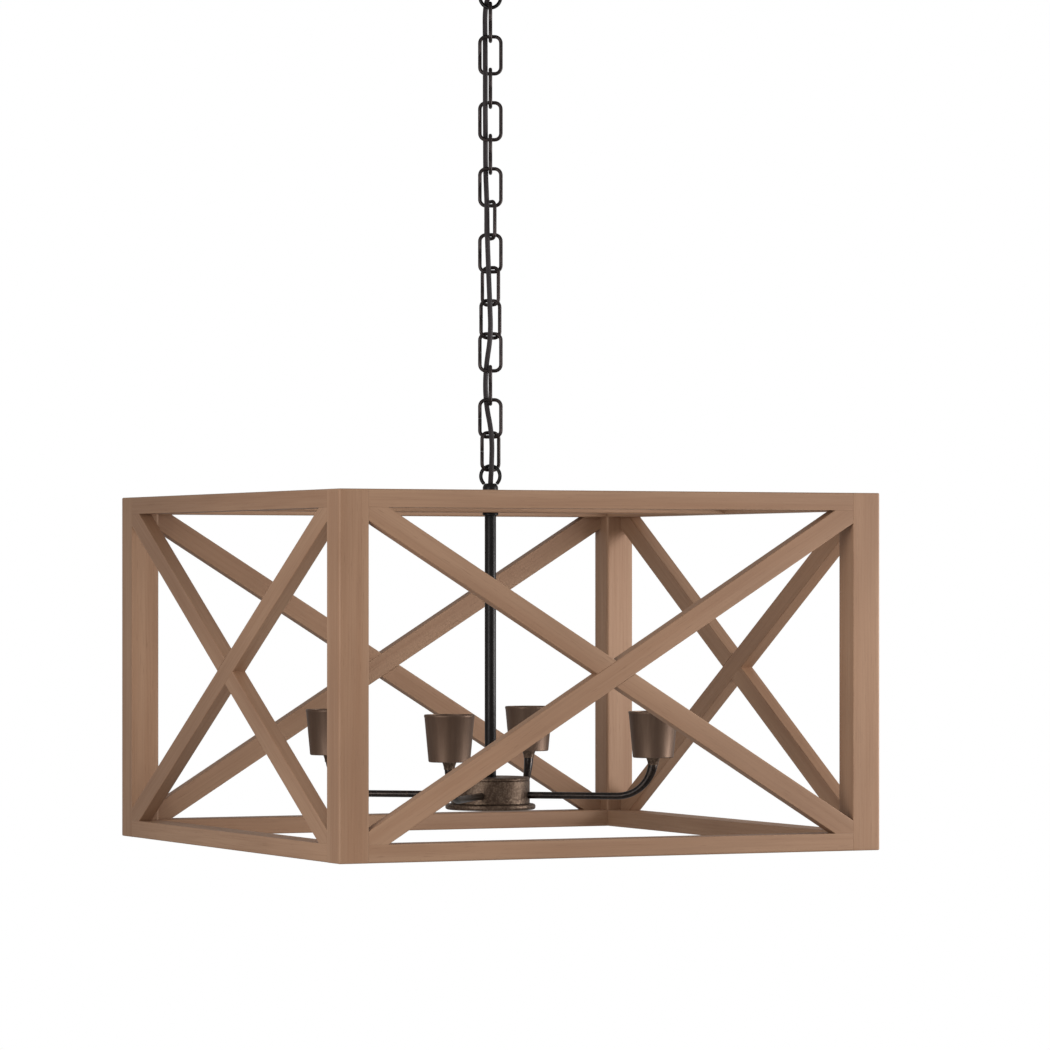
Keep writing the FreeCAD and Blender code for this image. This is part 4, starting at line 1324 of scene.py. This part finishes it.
@dataclass
class Hub(Assembly):
    """The stem, its collar and loop, and the cast hub with its base and nuts."""

    base_height: float = -757.6 * MM
    shell_height: float = -752.6 * MM
    cage_top: float = -482.9 * MM
    collar_height: float = -500.5 * MM
    loop_turn: float = CHAIN_TURN + radians(-20)
    drill_radius: float = 3.1 * MM
    drill_height: float = 7.7 * MM
    ring_wire: float = 3.2 * MM
    ring_reach: float = 8.9 * MM
    ring_height: float = 17 * MM
    ring_gap: float = radians(42)

    def build(self) -> None:
        """Make the stem from the crossbar down to the hub's nut."""
        self.stem()
        self.shell()
        self.loop("stem_loop", Body.LAMP, at_axis(self.cage_top, self.loop_turn),
                  [(2.7, 6), (5.05, 6), (5.05, 0)])

    def stem(self) -> None:
        """The tube from the loop's socket to the hub, and the collar below the crossbar."""
        top = 280.65
        stem = turned("stem_tube", [(3.5, 0), (5, 0), (5, 90), (5, 180), (5, top), (3.5, top)],
                      40, 0.3 * MM)
        self.hang(stem, at_axis(self.base_height), Slot.BLACK, Body.LAMP, "stem")
        collar = turned("stem_collar_ring", [(5.05, 0), (6.4, 0), (7, 0.8), (7, 1.8),
                                             (6.4, 2.6), (5.05, 2.6)], 40, 0.25 * MM)
        self.hang(collar, at_axis(self.collar_height), Slot.BLACK, Body.LAMP, "stem_collar",
                  0.2)

    def shell(self) -> None:
        """The cast cover with its bead, the base plate and the nut on the stem."""
        wall, outer, height = 2.5, 34.5, 23.4
        cover = turned("hub_cover", [
            (5.2, height - wall), (outer - wall, height - wall), (outer - wall, 0),
            (outer - 0.5, 0), (outer, 0.6), (outer, height - 3.4),
            (outer - 0.45, height - 2.9), (outer, height - 2.4), (outer, height - 1.4),
            (outer - 0.6, height - 0.4), (outer - 1.6, height), (9, height),
            (8.4, height - 0.4), (7.2, height - 0.4), (5.2, height - 0.4)], 96)
        for turn in ARM_TURNS[:2]:
            carve(cover, rod("drill", 32, self.drill_radius, 0.1, (0, 0, self.drill_height),
                             (pi / 2, 0, turn + pi / 2)))
        self.hang(shade(cover, 32.0), at_axis(self.shell_height), Slot.BRONZE, Body.LAMP,
                  "hub_body")
        base = turned("hub_base_plate", [
            (5.2, 3.8), (10, 3.8), (10, 0.5), (10.5, 0), (37.6, 0), (38.9, 0.5), (39.5, 1.7),
            (39.5, 3.3), (38.9, 4.5), (37.6, 5), (31.9, 5), (31.9, 6.5), (5.2, 6.5)], 96)
        self.hang(base, at_axis(self.base_height), Slot.BRONZE, Body.LAMP, "hub_base", 0.7)
        self.hang(self.nut(), at_axis(self.base_height), Slot.BLACK, Body.LAMP, "hub_nut")

    def nut(self) -> bpy.types.Object:
        """The hexagon nut below the hub, with chamfered corners and a plain hole.

        Returns:
            The nut, standing on the origin.
        """
        width, height, hole = 15, 3.5, 5.05
        corner, flat = width / 3 ** 0.5, width / 2 - 0.2
        nut = rod("hub_nut_hex", 6, corner * MM, height * MM, (0, 0, height / 2 * MM),
                  (0, 0, pi / 6))
        carve(nut, turned("gauge", [
            (hole, -1), (flat - 0.6, -1), (flat, 0), (corner + 0.2, 0.8),
            (corner + 0.2, height - 0.8), (flat, height), (flat - 0.6, height + 1),
            (hole, height + 1)], 48), "INTERSECT")
        return shade(nut, 20.0)

    def loop(self, node: str, body: Body, frame: Matrix, inner: Sequence[Point]) -> None:
        """A hanging loop: a turned base with a ring of wire that enters it on both sides.

        Args:
            node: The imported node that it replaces.
            body: The body that it moves with.
            frame: Where its base stands, and how it is turned.
            inner: The lower part of its outline, from the cord's hole to the base.
        """
        base = turned(f"{node}_base", [
            *inner, (6.3, 0), (6.75, 0.5), (6.75, 3), (6.35, 3.4), (6.35, 4), (6.75, 4.4),
            (6.75, 7.3), (6.2, 8.6), (5, 10.5), (2.7, 10.5)], 48)
        remember_place(base)
        across, down = sin(self.ring_gap), cos(self.ring_gap)
        start = Vector((across, 0.0, -down)) * self.ring_reach + UP * self.ring_height
        sweep = Bend(2 * pi - 2 * self.ring_gap, self.ring_reach, (0.0, -1.0, 0.0), 40)
        ring = bent(f"{node}_ring", self.ring_wire / 2, start, (down, 0.0, across), (sweep,))
        remember_place(ring, 0.4)
        shade(ring, 50.0)
        whole = join(f"{node}_whole", [base, ring])
        self.dress(put(whole, frame), Slot.BLACK, body, node)


# ---------------------------------------------------------------- arms, cups and lampholders

@dataclass
class Arms(Assembly):
    """Four tube arms that leave the hub level and bend up into their cups."""

    reach: float = 145.6 * MM
    arm_height: float = -744.9 * MM
    cup_height: float = -711.2 * MM
    holder_height: float = -709.7 * MM
    shell_height: float = -702.7 * MM
    ferrule_height: float = -717.7 * MM
    arm_start: float = 26 * MM
    arm_radius: float = 3 * MM
    bend: float = 32 * MM
    rise: float = 9.2 * MM
    neck: float = 28.7 * MM
    swell_start: float = 1.6 * MM
    swell_share: float = 0.42
    pattern_steps: Point = (0.83, 0.47)

    def build(self) -> None:
        """Make one of each piece and copy it round the hub."""
        arm, cup, holder = self.arm(), self.cup(), self.holder()
        shell, ferrule = self.shell(), self.ferrule()
        shells, ferrules = [], []
        own, shared = self.pattern_steps
        for number, turn in enumerate(ARM_TURNS, start=1):
            for model, name, height, reach, slot, node, finish in (
                    (arm, "arm_tube", self.arm_height, 0.0, Slot.BLACK, "arm", "arm_black"),
                    (cup, "cup_shade", self.cup_height, self.reach, Slot.BRONZE, "cup",
                     "drawn_bronze"),
                    (holder, "lampholder_body", self.holder_height, self.reach, Slot.HOLDER,
                     "lampholder", "")):
                self.hang(copy_of(model, f"{name}_{number}"), at_axis(height, turn, reach),
                          slot, Body.LAMP, f"{node}_{number}", number * own, finish)
            for model, height, pile in ((shell, self.shell_height, shells),
                                        (ferrule, self.ferrule_height, ferrules)):
                piece = copy_of(model, f"{model.name}_{number}")
                remember_place(piece, number * shared)
                pile.append(put(piece, at_axis(height, turn, self.reach)))
        self.dress(join("screw_shell_set", shells), Slot.SHELL, Body.LAMP, "screw_shells")
        self.dress(join("ferrule_set", ferrules), Slot.BRONZE, Body.LAMP, "arm_ferrules")
        for model in (arm, cup, holder, shell, ferrule):
            bpy.data.objects.remove(model)

    def arm(self) -> bpy.types.Object:
        """A tube from inside the hub, out along X and up through the cup."""
        out = self.reach - self.bend - self.arm_start
        arm = bent("arm_model", self.arm_radius, (self.arm_start, 0.0, 0.0), (1.0, 0.0, 0.0),
                   (Run(out, 4), Bend(pi / 2, self.bend, (0.0, -1.0, 0.0), 24),
                    Run(self.rise)), 24)
        self.swell(arm)
        return shade(arm, 50.0)

    def swell(self, arm: bpy.types.Object) -> None:
        """Let the arm, which lies along X, grow thicker towards its cup, up to its neck."""
        centre = Vector((self.reach - self.bend, 0.0, self.bend))
        for vertex in arm.data.vertices:
            place = vertex.co
            if place.x < centre.x or place.z > self.neck:
                continue
            spoke = Vector((place.x - centre.x, 0.0, place.z - centre.z)).normalized()
            line = centre + spoke * self.bend
            share = min(1.0, max(0.0, (line.z - self.swell_start) / self.neck))
            ease = share * share * (3 - 2 * share)
            vertex.co = line + (place - line) * (1.0 + self.swell_share * ease)

    def cup(self) -> bpy.types.Object:
        """A tapered drawn cup with a rolled lip and a small foot."""
        height, top, bottom, wall = 40.3, 21.5, 17.75, 1.5
        return shade(turned("cup_model", [
            (3.1, 0), (bottom - 0.8, 0), (bottom, 0.7), (top - 0.35, height - 2.6),
            (top, height - 1.9), (top, height - 0.7), (top - 0.5, height),
            (top - wall + 0.2, height), (top - wall, height - 0.5), (bottom - wall, wall),
            (3.1, wall)], 80), 32.0)

    def holder(self) -> bpy.types.Object:
        """The moulded body of a lampholder, with a groove round it."""
        return turned("holder_model", [
            (3.05, 0), (14.2, 0), (15, 0.8), (15, 24), (14.6, 24.5), (14.6, 25.5), (15, 26),
            (15, 32.4), (14.5, 33), (13.85, 33), (13.85, 7), (3.05, 7)], 56)

    def shell(self) -> bpy.types.Object:
        """The rolled screw shell inside a lampholder, as a helix."""
        bore, depth, pitch, floor, steps = 13.2 * MM, 0.35 * MM, 3.6 * MM, 0.4 * MM, 12
        piece = start_point("shell_model", (bore, 0.0, 0.0))
        wave = [depth * (1 - cos(2 * pi * part / steps)) / 2 for part in range(steps + 1)]
        with edit_mode():
            for before, after in zip(wave, wave[1:]):
                bpy.ops.mesh.extrude_vertices_move(TRANSFORM_OT_translate={
                    "value": (after - before, 0.0, pitch / steps)})
        finish_with(piece, "SCREW", axis="Z", angle=2 * pi, screw_offset=pitch, iterations=6,
                    steps=40, render_steps=40, use_merge_vertices=True,
                    merge_threshold=10 * TINY)
        with edit_mode():
            bpy.ops.mesh.select_all(action="SELECT")
            bpy.ops.mesh.remove_doubles(threshold=4 * TINY)
            bpy.ops.mesh.normals_make_consistent(inside=False)
            bpy.ops.transform.translate(value=(0, 0, floor))
        return shade(piece, 60.0)

    def ferrule(self) -> bpy.types.Object:
        """The small tapered sleeve below a cup."""
        return turned("ferrule_model", [
            (3.4, 1.6), (4.25, 0), (4.6, 0.2), (4.9, 2.8), (5.75, 5.4), (6, 5.9), (6, 6.5),
            (3.4, 6.5)], 40)


# ---------------------------------------------------------------- canopy

@dataclass
class Canopy(Assembly):
    """The ceiling canopy, its collar and loop, and the strap that it hangs from."""

    hub: Hub
    pan_height: float = -24 * MM
    collar_height: float = -30 * MM
    strap_height: float = -1.2 * MM
    strap_size: Triple = (106 * MM, 22 * MM, 2.4 * MM)
    strap_round: float = 3 * MM
    slot_place: float = 44.45 * MM
    slot_half: float = 2 * MM
    slot_radius: float = 2.5 * MM
    nipple_radius: float = 4.85 * MM
    through: float = 10 * MM

    def build(self) -> None:
        """Make the pressed canopy, the collar, the loop and the strap."""
        canopy = turned("canopy_pan", [
            (5, 0), (30, 0), (34, 0.5), (52, 3.6), (57.5, 6.2), (62, 11), (63.5, 15),
            (63.5, 24), (62.3, 24), (62.3, 15.2), (61, 11.6), (56.8, 7.2), (51.8, 4.8),
            (34, 1.7), (30, 1.2), (5, 1.2)], 96)
        self.hang(shade(canopy, 50.0), at_axis(self.pan_height), Slot.CANOPY, Body.CANOPY,
                  "canopy")
        collar = turned("canopy_collar_ring", [
            (4.85, 0), (8.5, 0), (8.9, 0.3), (11, 2.3), (11, 5.6), (10.6, 6), (4.85, 6)], 56)
        self.hang(collar, at_axis(self.collar_height), Slot.CANOPY, Body.CANOPY,
                  "canopy_collar", 0.3)
        self.hub.loop("canopy_loop", Body.CANOPY,
                      at_axis(self.collar_height, CHAIN_TURN) @ Matrix.Rotation(pi, 4, "X"),
                      [(2.7, -29.9), (4.8, -29.9), (4.8, 0)])
        self.strap()

    def strap(self) -> None:
        """The steel strap with its hole for the nipple and its two slots."""
        strap = box("strap_plate", self.strap_size)
        with edit_mode():
            pick(strap, "EDGE", lambda at, along: abs(along.z) > 0.9)
            bpy.ops.mesh.bevel(offset=self.strap_round, segments=4, affect="EDGES")
        holes = [(0.0, self.nipple_radius)] + [
            (side * (self.slot_place + way * self.slot_half), self.slot_radius)
            for side in (-1, 1) for way in (-1, 1)]
        for x, radius in holes:
            carve(strap, rod("drill", 32, radius, self.through, (x, 0, 0)))
        for side in (-1, 1):
            bpy.ops.object.select_all(action="DESELECT")
            bpy.ops.mesh.primitive_cube_add(size=1.0, location=(side * self.slot_place, 0, 0))
            mill = name_piece("mill")
            mill.scale = (2 * self.slot_half, 2 * self.slot_radius, self.through)
            bpy.ops.object.transform_apply(location=True, scale=True)
            carve(strap, mill)
        self.hang(shade(strap), at_axis(self.strap_height), Slot.ZINC, Body.CANOPY,
                  "ceiling_strap")


def dress_hidden_nuts(frame: dict[str, Any], finishes: Finishes) -> None:
    """Plate the nuts that only show from inside the hub and the canopy.

    Args:
        frame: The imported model.
        finishes: The lamp's materials.
    """
    for node in ("hub_lock_nut", "arm_nuts", "canopy_nut"):
        nut = frame["nodes"][node]
        for place in nut.material_slots:
            place.material = finishes.of(Slot.ZINC.value)
        LOG.info("%s keeps its packed shape", node)


def main() -> None:
    """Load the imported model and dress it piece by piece."""
    logging.basicConfig(level=logging.INFO, format="%(name)s: %(message)s")
    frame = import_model()
    finishes = Finishes()
    Surroundings().build()
    SuspensionCord(finishes).build()
    Chain(finishes).build()
    Cage(finishes).build()
    hub = Hub(finishes)
    hub.build()
    Arms(finishes).build()
    Canopy(finishes, hub).build()
    dress_hidden_nuts(frame, finishes)


if __name__ == "__main__":
    main()
